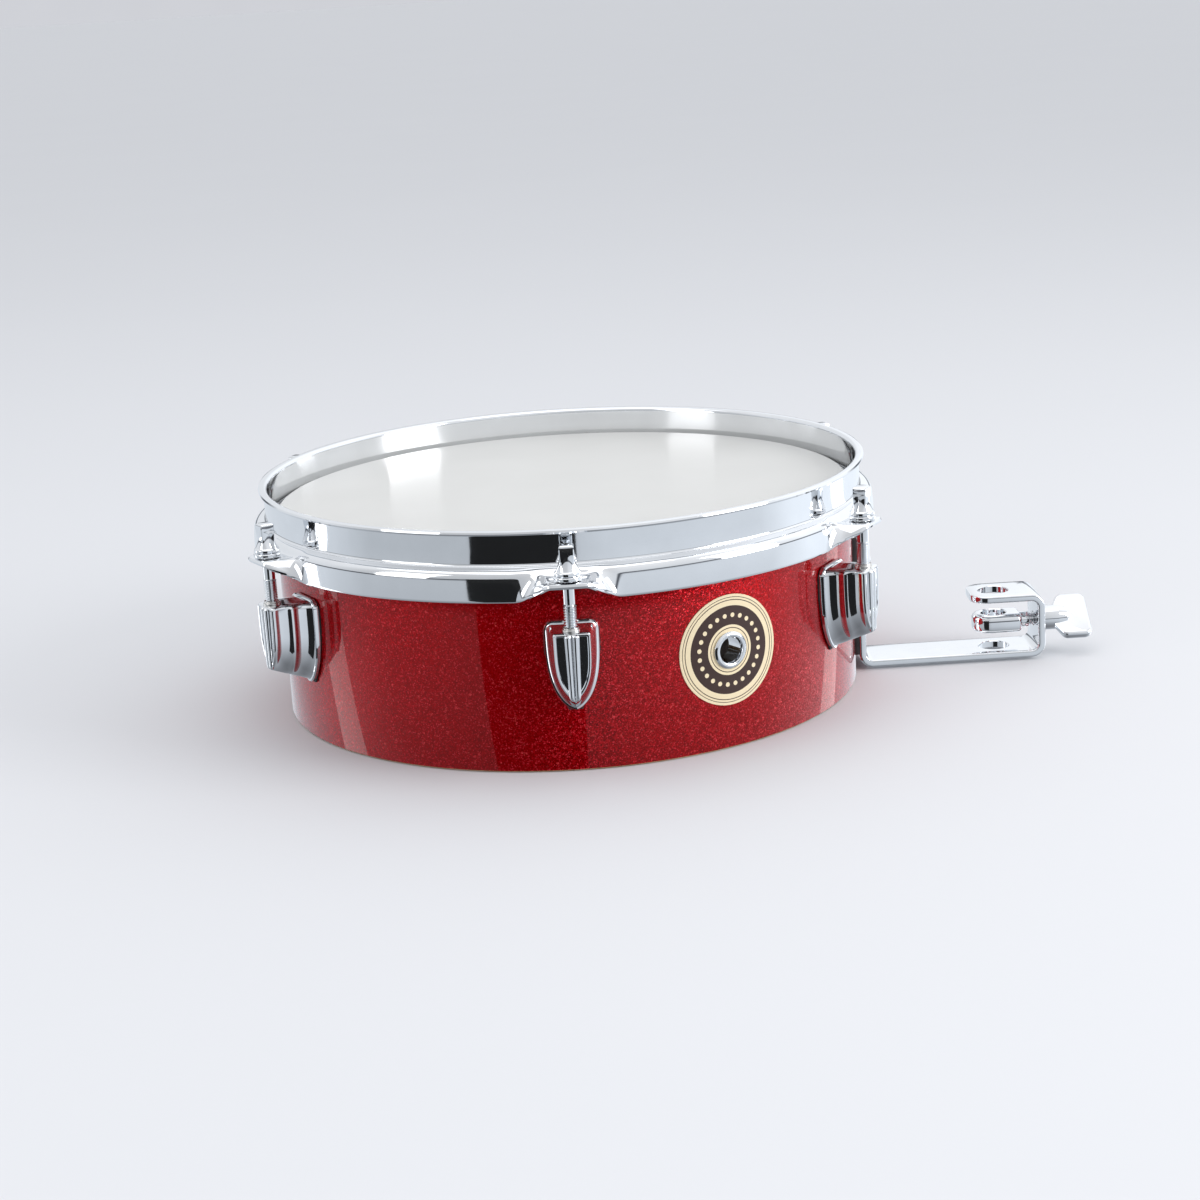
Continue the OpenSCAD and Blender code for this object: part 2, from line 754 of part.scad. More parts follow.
module snare_carrier() {
    post_y = end_bar_y - end_bar_d / 2;
    arm_h = arm_high_z - arm_low_z;
    color("lightgray") at_azimuth(strainer_azimuth) difference() {
        union() {
            translate([-arm_x, -148, arm_low_z]) cube([2 * arm_x, 148 + guide_y, arm_h]);
            translate([0, guide_y, arm_low_z]) cylinder(r = 6, h = arm_h);
            for (s = [-1, 1]) translate([-arm_x, s * end_bar_y - end_bar_d / 2, arm_low_z])
                cube([2 * arm_x, end_bar_d, wire_top_z - 2 * wire_r - 6 - arm_low_z]);
        }
        translate([0, guide_y, 40]) cylinder(r = guide_pin_r + fit, h = 40);
        translate([0, knob_y, 40]) cylinder(r = m4_r + fit, h = 40);
    }
}

module snare_end_bars() {
    color("silver") at_azimuth(strainer_azimuth) for (s = [-1, 1])
        translate([-end_bar_x, s * end_bar_y - end_bar_d / 2, wire_top_z - 2 * wire_r - 6])
        cube([2 * end_bar_x, end_bar_d, 6]);
}

module snare_wires() {
    color("gainsboro") at_azimuth(strainer_azimuth) for (i = [0:wire_count - 1])
        translate([(i - (wire_count - 1) / 2) * wire_pitch, wire_len / 2, wire_top_z - wire_r])
        rotate([90, 0, 0]) cylinder(r = wire_r, h = wire_len);
}

// Strip between the lower screws of lugs 6 and 1, with a boss for the guide pin
module guide_bar() {
    half_x = tab_end_x + 1.3;
    color("lightgray") at_azimuth(strainer_azimuth) difference() {
        union() {
            translate([-half_x, guide_y - guide_bar_w / 2, guide_bar_z])
                cube([2 * half_x, guide_bar_w, guide_bar_h]);
            translate([0, guide_y, guide_bar_z]) cylinder(r = 5, h = guide_bar_h);
            for (s = [-1, 1]) at_azimuth(180 - 30 * s)
                translate([-tab_len / 2, -tab_in_r - bar_t, guide_bar_z])
                cube([tab_len, bar_t, guide_bar_h]);
        }
        translate([0, guide_y, 20]) cylinder(r = guide_pin_r, h = 30);
        for (s = [-1, 1]) at_azimuth(180 - 30 * s) outward_hole(m4_r + 0.1, lug_screw_zs[0]);
    }
}

module guide_pin() {
    color("gainsboro") at_azimuth(strainer_azimuth) translate([0, guide_y, guide_bar_z])
        cylinder(r = guide_pin_r, h = 38);
}

shell();
wrap();
badge();
vent_grommet();
at_azimuth(lug_azimuths[0]) lug();  // lug_1
at_azimuth(lug_azimuths[1]) lug();  // lug_2
at_azimuth(lug_azimuths[2]) lug();  // lug_3
at_azimuth(lug_azimuths[3]) lug();  // lug_4
at_azimuth(lug_azimuths[4]) lug();  // lug_5
at_azimuth(lug_azimuths[5]) lug();  // lug_6
lug_gaskets();
swivel_nuts();
lug_screws();
lug_washers();
mount_bracket();
bracket_pad();
backing_plate();
bracket_bolts();
bracket_nuts();
eye_bolt();
wing_nut();
counter_hoop();
flesh_hoop();
drum_head();
rod_washers();
at_azimuth(lug_azimuths[0]) tension_rod();  // tension_rod_1
at_azimuth(lug_azimuths[1]) tension_rod();  // tension_rod_2
at_azimuth(lug_azimuths[2]) tension_rod();  // tension_rod_3
at_azimuth(lug_azimuths[3]) tension_rod();  // tension_rod_4
at_azimuth(lug_azimuths[4]) tension_rod();  // tension_rod_5
at_azimuth(lug_azimuths[5]) tension_rod();  // tension_rod_6
strainer_base();
strainer_gasket();
strainer_screws();
lever_pin();
throw_off_lever();
snare_slider();
snare_knob();
snare_carrier();
snare_end_bars();
snare_wires();
guide_bar();
guide_pin();
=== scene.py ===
import json
import math

import bmesh
import bpy
from mathutils import Euler, Matrix, Vector


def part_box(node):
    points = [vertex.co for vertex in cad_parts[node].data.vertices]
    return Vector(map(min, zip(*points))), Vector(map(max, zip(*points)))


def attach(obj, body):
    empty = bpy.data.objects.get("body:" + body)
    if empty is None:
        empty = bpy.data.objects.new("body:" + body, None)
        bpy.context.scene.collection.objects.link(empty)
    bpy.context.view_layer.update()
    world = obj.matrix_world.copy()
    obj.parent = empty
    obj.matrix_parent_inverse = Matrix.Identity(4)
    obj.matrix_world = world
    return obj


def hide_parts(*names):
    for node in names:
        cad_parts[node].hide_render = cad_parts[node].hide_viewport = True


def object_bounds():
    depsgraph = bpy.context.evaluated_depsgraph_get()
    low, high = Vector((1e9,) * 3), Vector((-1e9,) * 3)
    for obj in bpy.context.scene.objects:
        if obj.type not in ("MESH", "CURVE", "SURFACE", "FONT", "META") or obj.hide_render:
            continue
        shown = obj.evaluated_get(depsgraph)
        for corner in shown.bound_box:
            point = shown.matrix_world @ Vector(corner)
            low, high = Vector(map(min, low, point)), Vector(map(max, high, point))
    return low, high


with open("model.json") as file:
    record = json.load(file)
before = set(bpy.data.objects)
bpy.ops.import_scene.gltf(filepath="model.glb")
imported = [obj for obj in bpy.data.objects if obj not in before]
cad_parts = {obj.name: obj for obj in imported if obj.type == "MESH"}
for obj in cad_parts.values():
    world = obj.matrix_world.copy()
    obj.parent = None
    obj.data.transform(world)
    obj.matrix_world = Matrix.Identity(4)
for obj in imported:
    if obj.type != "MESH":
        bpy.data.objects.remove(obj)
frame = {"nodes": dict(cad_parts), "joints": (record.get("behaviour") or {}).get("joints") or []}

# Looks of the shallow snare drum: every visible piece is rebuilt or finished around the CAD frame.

cad_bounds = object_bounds()
scene = bpy.context.scene
MM = 0.001               # the pieces are drawn in millimetres and shrunk to metres at the end
WELD_MM = 0.002          # points closer than this become one
SHARP_DEGREES = 34       # edges that turn more than this stay crisp
JOINTS = {joint["name"]: joint for joint in frame["joints"]}


def box_mm(node):
    low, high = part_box(node)
    return low / MM, high / MM


# ---- Sizes that come from the frame, in millimetres ----

wrap_low, wrap_high = box_mm("wrap")
shell_low, shell_high = box_mm("shell")
_, hoop_high = box_mm("counter_hoop")
lug_low, lug_high = box_mm("lug_1")
rod_low, rod_high = box_mm("tension_rod_1")
washer_low, washer_high = box_mm("rod_washers")
flesh_low, flesh_high = box_mm("flesh_hoop")
_, head_high = box_mm("drum_head")
_, nut_high = box_mm("swivel_nuts")
bracket_low, bracket_high = box_mm("mount_bracket")
eye_low, eye_high = box_mm("eye_bolt")
_, wing_high = box_mm("wing_nut")
_, wires_high = box_mm("snare_wires")
badge_low, badge_high = box_mm("badge")

WRAP_R = wrap_high.x
PLY_R = shell_high.x
PLY_T = 6.0
INNER_R = PLY_R - PLY_T
EDGE_R = PLY_R - 1.6     # crest of the bearing edge
LUG_TOP = lug_high.z
LUG_TIP = lug_low.z
SEAT_R = WRAP_R + 0.8    # the lugs' gaskets lie between the wrap and this radius
PITCH_R = -JOINTS["rod_turn_1"]["pos_m"][1] / MM
THREAD_PITCH = 1.058
THREAD_TOP = 74.0        # the rods are plain above this height
LUG_SCREW_ZS = (36, 54)
BOLT_ZS = (20, 46)
SCREW_HOLE_R = 2.1
BOLT_HOLE_R = 3.1
HOOP_TOP = hoop_high.z
HOOP_R = hoop_high.x
EAR_TOP = washer_low.z
LUG_AZIMUTHS = [60 * i for i in range(6)]
BADGE_AZIMUTH = 30
BRACKET_AZIMUTH = 90
STRAINER_AZIMUTH = 150
BADGE_Z = (badge_low.z + badge_high.z) / 2
BADGE_R = (badge_high.z - badge_low.z) / 2


# ---- Shapes: a shape is (points, faces), drawn in millimetres ----

def soft_corners(corners, steps=4):
    """Closed outline; a corner given as (x, y, radius) is rounded."""
    outline = []
    count = len(corners)
    for i, corner in enumerate(corners):
        here = Vector(corner[:2])
        if len(corner) == 2:
            outline.append(tuple(here))
            continue
        radius = corner[2]
        to_last = (Vector(corners[i - 1][:2]) - here).normalized()
        to_next = (Vector(corners[(i + 1) % count][:2]) - here).normalized()
        half = to_last.angle(to_next) / 2
        centre = here + (to_last + to_next).normalized() * radius / math.sin(half)
        first = here + to_last * radius / math.tan(half) - centre
        last = here + to_next * radius / math.tan(half) - centre
        start = math.atan2(first.y, first.x)
        turn = (math.atan2(last.y, last.x) - start + math.pi) % (2 * math.pi) - math.pi
        for k in range(steps + 1):
            angle = start + turn * k / steps
            outline.append((centre.x + radius * math.cos(angle), centre.y + radius * math.sin(angle)))
    return outline


def grid_faces(rows, columns, close_rows, close_columns):
    """Quads between neighbouring points of a grid that is stored row by row."""
    faces = []
    for i in range(rows if close_rows else rows - 1):
        for j in range(columns if close_columns else columns - 1):
            here, below = i * columns, (i + 1) % rows * columns
            right = (j + 1) % columns
            faces.append((here + j, below + j, below + right, here + right))
    return faces


def lathe(outline, steps=96):
    """Closed outline of (radius, height) points turned about Z."""
    points = []
    for i in range(steps):
        angle = 2 * math.pi * i / steps
        points += [(r * math.sin(angle), -r * math.cos(angle), z) for r, z in outline]
    return points, grid_faces(steps, len(outline), True, True)


def loft(rings):
    """Closed rings of equal length joined in order, with both ends filled."""
    columns = len(rings[0])
    points = [p for ring in rings for p in ring]
    faces = grid_faces(len(rings), columns, False, True)
    faces.append(tuple(range(columns)))
    faces.append(tuple(reversed(range(len(points) - columns, len(points)))))
    return points, faces


def prism(outline, low, high):
    """Outline in XY pushed up from low to high."""
    return loft([[(x, y, z) for x, y in outline] for z in (low, high)])


def moved(shape, matrix):
    return [tuple(matrix @ Vector(p)) for p in shape[0]], shape[1]


def joined(shapes):
    points, faces = [], []
    for shape in shapes:
        start = len(points)
        points += shape[0]
        faces += [tuple(start + i for i in face) for face in shape[1]]
    return points, faces


def at_azimuth(azimuth, x=0.0, y=0.0, z=0.0):
    return Matrix.Rotation(math.radians(azimuth), 4, "Z") @ Matrix.Translation((x, y, z))


def at_rods(shape, z=0.0):
    """A copy of the shape on the axis of every rod."""
    return joined([moved(shape, at_azimuth(azimuth, 0, -PITCH_R, z)) for azimuth in LUG_AZIMUTHS])


def outward(azimuth, radius, z, x=0.0):
    """Turns a shape's +Z to point straight out of the shell."""
    return at_azimuth(azimuth, x, -radius, z) @ Matrix.Rotation(math.pi / 2, 4, "X")


def along_x(x, y, z):
    """Turns a shape's +Z to point along +X from the given place."""
    return Matrix.Translation((x, y, z)) @ Matrix.Rotation(math.pi / 2, 4, "Y")


def linked(name, data):
    made = bpy.data.objects.new(name, data)
    scene.collection.objects.link(made)
    return made


def mesh_of(name, shape, sharp_degrees=SHARP_DEGREES):
    mesh = bpy.data.meshes.new(name)
    mesh.from_pydata([Vector(p) * MM for p in shape[0]], [], shape[1])
    tidy = bmesh.new()
    tidy.from_mesh(mesh)
    bmesh.ops.remove_doubles(tidy, verts=tidy.verts, dist=WELD_MM * MM)
    bmesh.ops.recalc_face_normals(tidy, faces=tidy.faces)
    tidy.to_mesh(mesh)
    tidy.free()
    smooth(mesh, sharp_degrees)
    return mesh


def smooth(mesh, sharp_degrees):
    mesh.shade_smooth()
    mesh.set_sharp_from_angle(angle=math.radians(sharp_degrees))


def evaluated_mesh(body):
    return bpy.data.meshes.new_from_object(body.evaluated_get(bpy.context.evaluated_depsgraph_get()))


def combined(mesh, shape, operation, sharp_degrees=SHARP_DEGREES):
    """The mesh after a boolean with a shape."""
    body = linked("boolean_body", mesh)
    tool = linked("boolean_tool", mesh_of("boolean_tool", shape))
    modifier = body.modifiers.new("boolean", "BOOLEAN")
    modifier.operation = operation
    modifier.solver = "EXACT"
    modifier.object = tool
    result = evaluated_mesh(body)
    result.name = mesh.name
    for used in (body, tool):
        bpy.data.objects.remove(used)
    smooth(result, sharp_degrees)
    return result


def add_piece(name, mesh, material, body, slot, *nodes):
    """One visible piece that rides on a body and stands for CAD nodes."""
    piece = linked(name, mesh)
    mesh.materials.clear()
    mesh.materials.append(material)
    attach(piece, body)
    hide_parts(*nodes)


def eased_piece(name, node, material, body, slot, width):
    """A CAD node's own shape with its machined edges eased by width millimetres."""
    mesh = frame["nodes"][node].data.copy()
    work = bmesh.new()
    work.from_mesh(mesh)
    bmesh.ops.remove_doubles(work, verts=work.verts, dist=WELD_MM * MM)
    bmesh.ops.dissolve_limit(work, angle_limit=math.radians(0.4), verts=work.verts, edges=work.edges)
    work.to_mesh(mesh)
    work.free()
    holder = linked(name + "_source", mesh)
    modifier = holder.modifiers.new("ease", "BEVEL")
    modifier.width = width * MM
    modifier.segments = 2
    modifier.limit_method = "ANGLE"
    modifier.angle_limit = math.radians(40)
    modifier.use_clamp_overlap = True
    result = evaluated_mesh(holder)
    bpy.data.objects.remove(holder)
    smooth(result, SHARP_DEGREES)
    add_piece(name, result, material, body, slot, node)


# ---- Materials ----

def new_material(name):
    material = bpy.data.materials.new(name)
    material.use_nodes = True
    tree = material.node_tree
    return material, tree, tree.nodes["Principled BSDF"]


def put(tree, socket, value):
    """Sets an input to a value, or links another node's output to it."""
    if isinstance(value, bpy.types.NodeSocket):
        tree.links.new(value, socket)
    else:
        socket.default_value = value


def node(tree, kind, **inputs):
    made = tree.nodes.new(kind)
    for name, value in inputs.items():
        put(tree, made.inputs[name.replace("_", " ")], value)
    return made


def place(tree):
    """Object coordinates, which stay with the piece as it moves."""
    return tree.nodes.new("ShaderNodeTexCoord").outputs["Object"]


def noise(tree, vector, scale, detail=3.0, roughness=0.5):
    made = node(tree, "ShaderNodeTexNoise", Vector=vector, Scale=scale, Detail=detail, Roughness=roughness)
    return made.outputs["Fac"]


def math_of(tree, operation, a, b=0.0, c=0.0):
    made = tree.nodes.new("ShaderNodeMath")
    made.operation = operation
    for socket, value in zip(made.inputs, (a, b, c)):
        put(tree, socket, value)
    return made.outputs[0]


def vector_math(tree, operation, a, b=(0, 0, 0), scale=None):
    made = tree.nodes.new("ShaderNodeVectorMath")
    made.operation = operation
    put(tree, made.inputs[0], a)
    put(tree, made.inputs[1], b)
    if scale is not None:
        put(tree, made.inputs["Scale"], scale)
    return made.outputs[0]


def ramp(tree, factor, stops, interpolation="LINEAR"):
    made = node(tree, "ShaderNodeValToRGB", Fac=factor)
    made.color_ramp.interpolation = interpolation
    elements = made.color_ramp.elements
    while len(elements) < len(stops):
        elements.new(0.5)
    for element, (position, colour) in zip(elements, stops):
        element.position = position
        element.color = (*colour, 1)
    return made.outputs["Color"]


def spread(tree, factor, low, high):
    """Maps 0..1 to low..high."""
    return math_of(tree, "MULTIPLY_ADD", factor, high - low, low)


def bump(tree, height, strength, distance_mm):
    made = node(tree, "ShaderNodeBump", Height=height, Strength=strength, Distance=distance_mm * MM)
    return made.outputs[0]


def distance_from(tree, x, y):
    """Square root of x squared plus y squared."""
    squares = math_of(tree, "ADD", math_of(tree, "MULTIPLY", x, x), math_of(tree, "MULTIPLY", y, y))
    return math_of(tree, "SQRT", squares)


def mixed(tree, blend, factor, first, second):
    made = node(tree, "ShaderNodeMix")
    made.data_type = "RGBA"
    made.blend_type = blend
    put(tree, made.inputs["Factor"], factor)
    colours = [socket for socket in made.inputs if socket.type == "RGBA"]
    put(tree, colours[0], first)
    put(tree, colours[1], second)
    return made.outputs[2]


def surface_normal(tree):
    return tree.nodes.new("ShaderNodeNewGeometry").outputs["Normal"]


def plated(name, colour, dull, glossy, grain, grain_strength, ripple=0.0):
    """Plated metal: roughness wanders between two values, over fine grain and a slow ripple."""
    material, tree, shader = new_material(name)
    where = place(tree)
    smudge = noise(tree, where, 90, 4)
    shader.inputs["Metallic"].default_value = 1
    put(tree, shader.inputs["Base Color"], ramp(tree, smudge, [
        (0.3, tuple(c * 0.96 for c in colour)), (0.7, colour)]))
    put(tree, shader.inputs["Roughness"], spread(tree, smudge, glossy, dull))
    height = math_of(tree, "MULTIPLY_ADD", noise(tree, where, 45, 1), ripple, noise(tree, where, grain, 2))
    put(tree, shader.inputs["Normal"], bump(tree, height, grain_strength, 0.02))
    return material


def sparkle_wrap():
    """Red sparkle sheet: tilted metal flakes in dyed resin under a clear, glossy skin, with painted glints
    added to the colour of a few larger flakes.
    """
    material, tree, shader = new_material("red_sparkle")
    where = place(tree)
    fine = node(tree, "ShaderNodeTexVoronoi", Vector=where, Scale=2300)
    coarse = node(tree, "ShaderNodeTexVoronoi", Vector=where, Scale=1150)
    fine_random = tree.nodes.new("ShaderNodeSeparateColor")
    coarse_random = tree.nodes.new("ShaderNodeSeparateColor")
    put(tree, fine_random.inputs[0], fine.outputs["Color"])
    put(tree, coarse_random.inputs[0], coarse.outputs["Color"])
    dye = ramp(tree, fine_random.outputs[0], [
        (0.0, (0.20, 0.0, 0.0005)), (0.5, (0.31, 0.0004, 0.0015)),
        (0.85, (0.42, 0.003, 0.007)), (1.0, (0.62, 0.03, 0.045))])
    # Painted glints: a few larger cells get a bright pink added to their colour, standing in for flake
    # highlights.
    painted_glint = ramp(tree, coarse_random.outputs[0], [(0.95, (0, 0, 0)), (1.0, (0.22, 0.03, 0.03))])
    put(tree, shader.inputs["Base Color"], mixed(tree, "ADD", 1.0, dye, painted_glint))
    tilt = vector_math(tree, "SUBTRACT", fine.outputs["Color"], (0.5, 0.5, 0.5))
    tilt = vector_math(tree, "SCALE", tilt, scale=0.36)
    flake = vector_math(tree, "ADD", surface_normal(tree), tilt)
    put(tree, shader.inputs["Normal"], vector_math(tree, "NORMALIZE", flake))
    shader.inputs["Metallic"].default_value = 0.5
    shader.inputs["Roughness"].default_value = 0.34
    shader.inputs["Specular IOR Level"].default_value = 0
    shader.inputs["Coat Weight"].default_value = 1
    shader.inputs["Coat IOR"].default_value = 1.32
    put(tree, shader.inputs["Coat Roughness"], spread(tree, noise(tree, where, 70, 3), 0.01, 0.05))
    return material


def coated_film():
    """Warm white coated film with the fine tooth of a sprayed coat."""
    material, tree, shader = new_material("coated_film")
    where = place(tree)
    cloud = noise(tree, where, 22, 4)
    put(tree, shader.inputs["Base Color"], ramp(tree, cloud, [
        (0.3, (0.565, 0.56, 0.54)), (0.7, (0.60, 0.596, 0.577))]))
    put(tree, shader.inputs["Roughness"], spread(tree, cloud, 0.26, 0.36))
    shader.inputs["Specular IOR Level"].default_value = 0.5
    put(tree, shader.inputs["Normal"], bump(tree, noise(tree, where, 1600, 3), 0.25, 0.03))
    return material


def plywood():
    """Rotary-cut ply: grain runs round the shell, and its layers show on the cut edges."""
    material, tree, shader = new_material("plywood")
    where = place(tree)
    layer_pair_mm = 2
    x, y, z = node(tree, "ShaderNodeSeparateXYZ", Vector=where).outputs
    radius = distance_from(tree, x, y)
    angle = math_of(tree, "ARCTAN2", x, y)
    along = math_of(tree, "MULTIPLY", angle, INNER_R * MM)
    unrolled = node(tree, "ShaderNodeCombineXYZ", X=math_of(tree, "MULTIPLY", along, 0.09), Y=radius, Z=z)
    grain = noise(tree, unrolled.outputs[0], 420, 6, 0.65)
    pores = noise(tree, unrolled.outputs[0], 1900, 2, 0.5)
    depth = math_of(tree, "SUBTRACT", PLY_R * MM, radius)
    layer = math_of(tree, "FRACT", math_of(tree, "DIVIDE", depth, layer_pair_mm * MM))
    wood = ramp(tree, grain, [
        (0.25, (0.36, 0.215, 0.105)), (0.5, (0.52, 0.345, 0.19)), (0.75, (0.66, 0.48, 0.295))])
    light, dark, line = (1, 1, 1), (0.72, 0.62, 0.52), (0.42, 0.33, 0.26)
    plies = ramp(tree, layer, [
        (0.0, light), (0.42, light), (0.46, line), (0.52, dark), (0.96, dark), (1.0, line)])
    surface = node(tree, "ShaderNodeSeparateXYZ", Vector=surface_normal(tree))
    cut_edge = math_of(tree, "GREATER_THAN", math_of(tree, "ABSOLUTE", surface.outputs[2]), 0.25)
    put(tree, shader.inputs["Base Color"], mixed(tree, "MULTIPLY", cut_edge, wood, plies))
    put(tree, shader.inputs["Roughness"], spread(tree, grain, 0.42, 0.6))
    put(tree, shader.inputs["Normal"], bump(tree, pores, 0.25, 0.05))
    return material


def printed_badge():
    """Foil badge with generic rings and a ring of dots round the vent."""
    material, tree, shader = new_material("printed_badge")
    mapping = tree.nodes.new("ShaderNodeMapping")
    mapping.vector_type = "TEXTURE"
    put(tree, mapping.inputs["Vector"], place(tree))
    centre = outward(BADGE_AZIMUTH, WRAP_R, BADGE_Z).to_translation() * MM
    mapping.inputs["Location"].default_value = centre
    mapping.inputs["Rotation"].default_value = Euler((math.pi / 2, 0, math.radians(BADGE_AZIMUTH)))
    mapping.inputs["Scale"].default_value = (MM, MM, MM)
    x, y, _ = node(tree, "ShaderNodeSeparateXYZ", Vector=mapping.outputs[0]).outputs
    radius = distance_from(tree, x, y)
    cream, brown = (0.83, 0.70, 0.47), (0.045, 0.022, 0.018)
    rings = [(0.0, cream), (8.9, brown), (9.3, cream), (10.4, brown), (18.3, cream), (20.4, brown),
             (20.8, cream), (21.6, brown), (21.9, cream)]
    face = ramp(tree, math_of(tree, "DIVIDE", radius, BADGE_R),
                [(r / BADGE_R, colour) for r, colour in rings], "CONSTANT")
    dots, dot_r, dot_size = 24, 14.4, 0.95
    turn = math_of(tree, "MULTIPLY", math_of(tree, "ARCTAN2", y, x), dots / (2 * math.pi))
    aside = math_of(tree, "SUBTRACT", math_of(tree, "FRACT", math_of(tree, "ADD", turn, float(dots))), 0.5)
    aside = math_of(tree, "MULTIPLY", aside, 2 * math.pi * dot_r / dots)
    distance = distance_from(tree, aside, math_of(tree, "SUBTRACT", radius, dot_r))
    in_dot = math_of(tree, "LESS_THAN", distance, dot_size)
    put(tree, shader.inputs["Base Color"], mixed(tree, "MIX", in_dot, face, (*cream, 1)))
    put(tree, shader.inputs["Roughness"], spread(tree, noise(tree, place(tree), 400, 3), 0.3, 0.42))
    shader.inputs["Metallic"].default_value = 0.25
    put(tree, shader.inputs["Normal"], bump(tree, noise(tree, place(tree), 3000, 2), 0.12, 0.02))
    return material


def moulded_rubber():
    material, tree, shader = new_material("moulded_rubber")
    where = place(tree)
    put(tree, shader.inputs["Base Color"], ramp(tree, noise(tree, where, 300, 3), [
        (0.3, (0.012, 0.012, 0.013)), (0.7, (0.03, 0.03, 0.032))]))
    put(tree, shader.inputs["Roughness"], spread(tree, noise(tree, where, 150, 2), 0.55, 0.75))
    put(tree, shader.inputs["Normal"], bump(tree, noise(tree, where, 2500, 2), 0.4, 0.04))
    return material


CHROME = plated("polished_chrome", (0.86, 0.875, 0.895), 0.07, 0.03, 900, 0.02, 0.6)
STEEL = plated("plated_steel", (0.70, 0.69, 0.67), 0.34, 0.20, 2600, 0.14)
ALLOY = plated("cast_alloy", (0.66, 0.665, 0.67), 0.42, 0.28, 2200, 0.22)
WIRE = plated("spring_wire", (0.74, 0.735, 0.72), 0.26, 0.16, 4000, 0.06)
# Bare steel of the cut threads, made darker still as painted shade for the grooves between the turns.
THREAD_STEEL_AND_PAINTED_SHADE = plated("thread_steel_and_painted_shade", (0.42, 0.41, 0.395), 0.3, 0.18, 3000, 0.1)
WRAP = sparkle_wrap()
FILM = coated_film()
PLY = plywood()
BADGE = printed_badge()
RUBBER = moulded_rubber()


# ---- Shell, wrap and head ----

def bore(radius, length, edge=0.0):
    """Cutter for a drilled hole, flared by edge where it leaves the metal at z = 0 and z = length."""
    reach = 1.0
    mouth = radius + edge + reach if edge else radius
    outline = [(0, -reach), (mouth, -reach), (radius, edge), (radius, length - edge),
               (mouth, length + reach), (0, length + reach)]
    return lathe(outline, 48)


def wall_holes():
    """Cutters for every hole through the shell's wall."""
    vent_hole_r = 6.0
    strainer_screws = ((0, 23), (-10, 58), (10, 58))
    slot_half_w, slot_half_h, slot_z, slot_corner = 5.5, 6.5, 54.5, 2
    start, length = INNER_R - 4, PLY_T + 6
    holes = [(azimuth, 0, z, SCREW_HOLE_R) for azimuth in LUG_AZIMUTHS for z in LUG_SCREW_ZS]
    holes += [(BRACKET_AZIMUTH, 0, z, BOLT_HOLE_R) for z in BOLT_ZS]
    holes.append((BADGE_AZIMUTH, 0, BADGE_Z, vent_hole_r))
    holes += [(STRAINER_AZIMUTH, x, z, SCREW_HOLE_R) for x, z in strainer_screws]
    cutters = [moved(bore(r, length), outward(azimuth, start, z, x)) for azimuth, x, z, r in holes]
    slot = soft_corners([(x * slot_half_w, z * slot_half_h, slot_corner)
                         for x, z in ((-1, -1), (1, -1), (1, 1), (-1, 1))])
    cutters.append(moved(prism(slot, 0, length), outward(STRAINER_AZIMUTH, start, slot_z)))
    return joined(cutters)


def build_shell():
    low, high = shell_low.z, shell_high.z
    sheet_r = PLY_R + 0.01
    wood = lathe(soft_corners([
        (INNER_R, low, 0.7), (PLY_R, low, 0.4), (PLY_R, high - (PLY_R - EDGE_R), 1.2),
        (EDGE_R, high, 0.5), (INNER_R, high - (EDGE_R - INNER_R), 0.6)]), 360)
    sheet = lathe(soft_corners([
        (sheet_r, wrap_low.z), (WRAP_R, wrap_low.z, 0.2), (WRAP_R, wrap_high.z, 0.2),
        (sheet_r, wrap_high.z)], 2), 480)
    cutters = wall_holes()
    add_piece("ply_shell", combined(mesh_of("ply_shell", wood), cutters, "DIFFERENCE"),
              PLY, "drum_shell", "shell", "shell")
    add_piece("sparkle_sheet", combined(mesh_of("sparkle_sheet", sheet), cutters, "DIFFERENCE"),
              WRAP, "drum_shell", "wrap", "wrap")


def build_head():
    """Film over the bearing edge, gripped in the flesh hoop."""
    top = head_high.z
    skirt_r, film_t = head_high.x, 0.25
    under = top - film_t
    lower = flesh_low.z + 1
    drop = skirt_r - EDGE_R
    flat = (0, 60, 100)
    film = [(r, top) for r in flat]
    film += soft_corners([
        (110, top), (EDGE_R + 0.1, top, 1.3), (skirt_r, top - drop + 0.1, 1.6), (skirt_r, lower),
        (skirt_r - film_t, lower), (skirt_r - film_t, top - drop, 1.2), (EDGE_R, under, 1.0),
        (110, under)], 6)
    film += [(r, under) for r in reversed(flat)]
    add_piece("coated_head", mesh_of("coated_head", lathe(film, 256)),
              FILM, "tension_hoop", "head", "drum_head")
    low, high = flesh_low.z, flesh_high.z
    out_r, ring_w = flesh_high.x, 5
    in_r = out_r - ring_w
    ring = soft_corners([(in_r, low, 0.6), (out_r, low, 1.2), (out_r, high, 1.4), (in_r, high, 1.0)], 5)
    add_piece("flesh_hoop_ring", mesh_of("flesh_hoop_ring", lathe(ring, 256)),
              ALLOY, "tension_hoop", "alloy", "flesh_hoop")


# ---- Triple-flanged hoop ----

SHEET_HALF = 0.95        # half the sheet's thickness
EAR_HALF = 1.3           # half its thickness at the ears
WALL_R = HOOP_R - 6.6    # middle of the upright wall
EAR_FLAT = 6.5           # half width of an ear's flat
EAR_FLARE = 24.0         # half width over which the skirt flares into the ear
SKIRT_RUN = 13.9         # sheet between the wall and the skirt's free edge
EAR_RUN = 17.2           # sheet between the wall and the ear's free edge
FLARE_TRIM = 3.6         # sheet cut away where the skirt turns into the ear
LIP_R = HOOP_R - 3.5     # edge of the turned-out lip
ROD_HOLE_R = 3.25


def eased(value, start, end):
    """0 before start, 1 after end, with a smooth rise between."""
    share = min(1, max(0, (value - start) / (end - start)))
    return share * share * (3 - 2 * share)


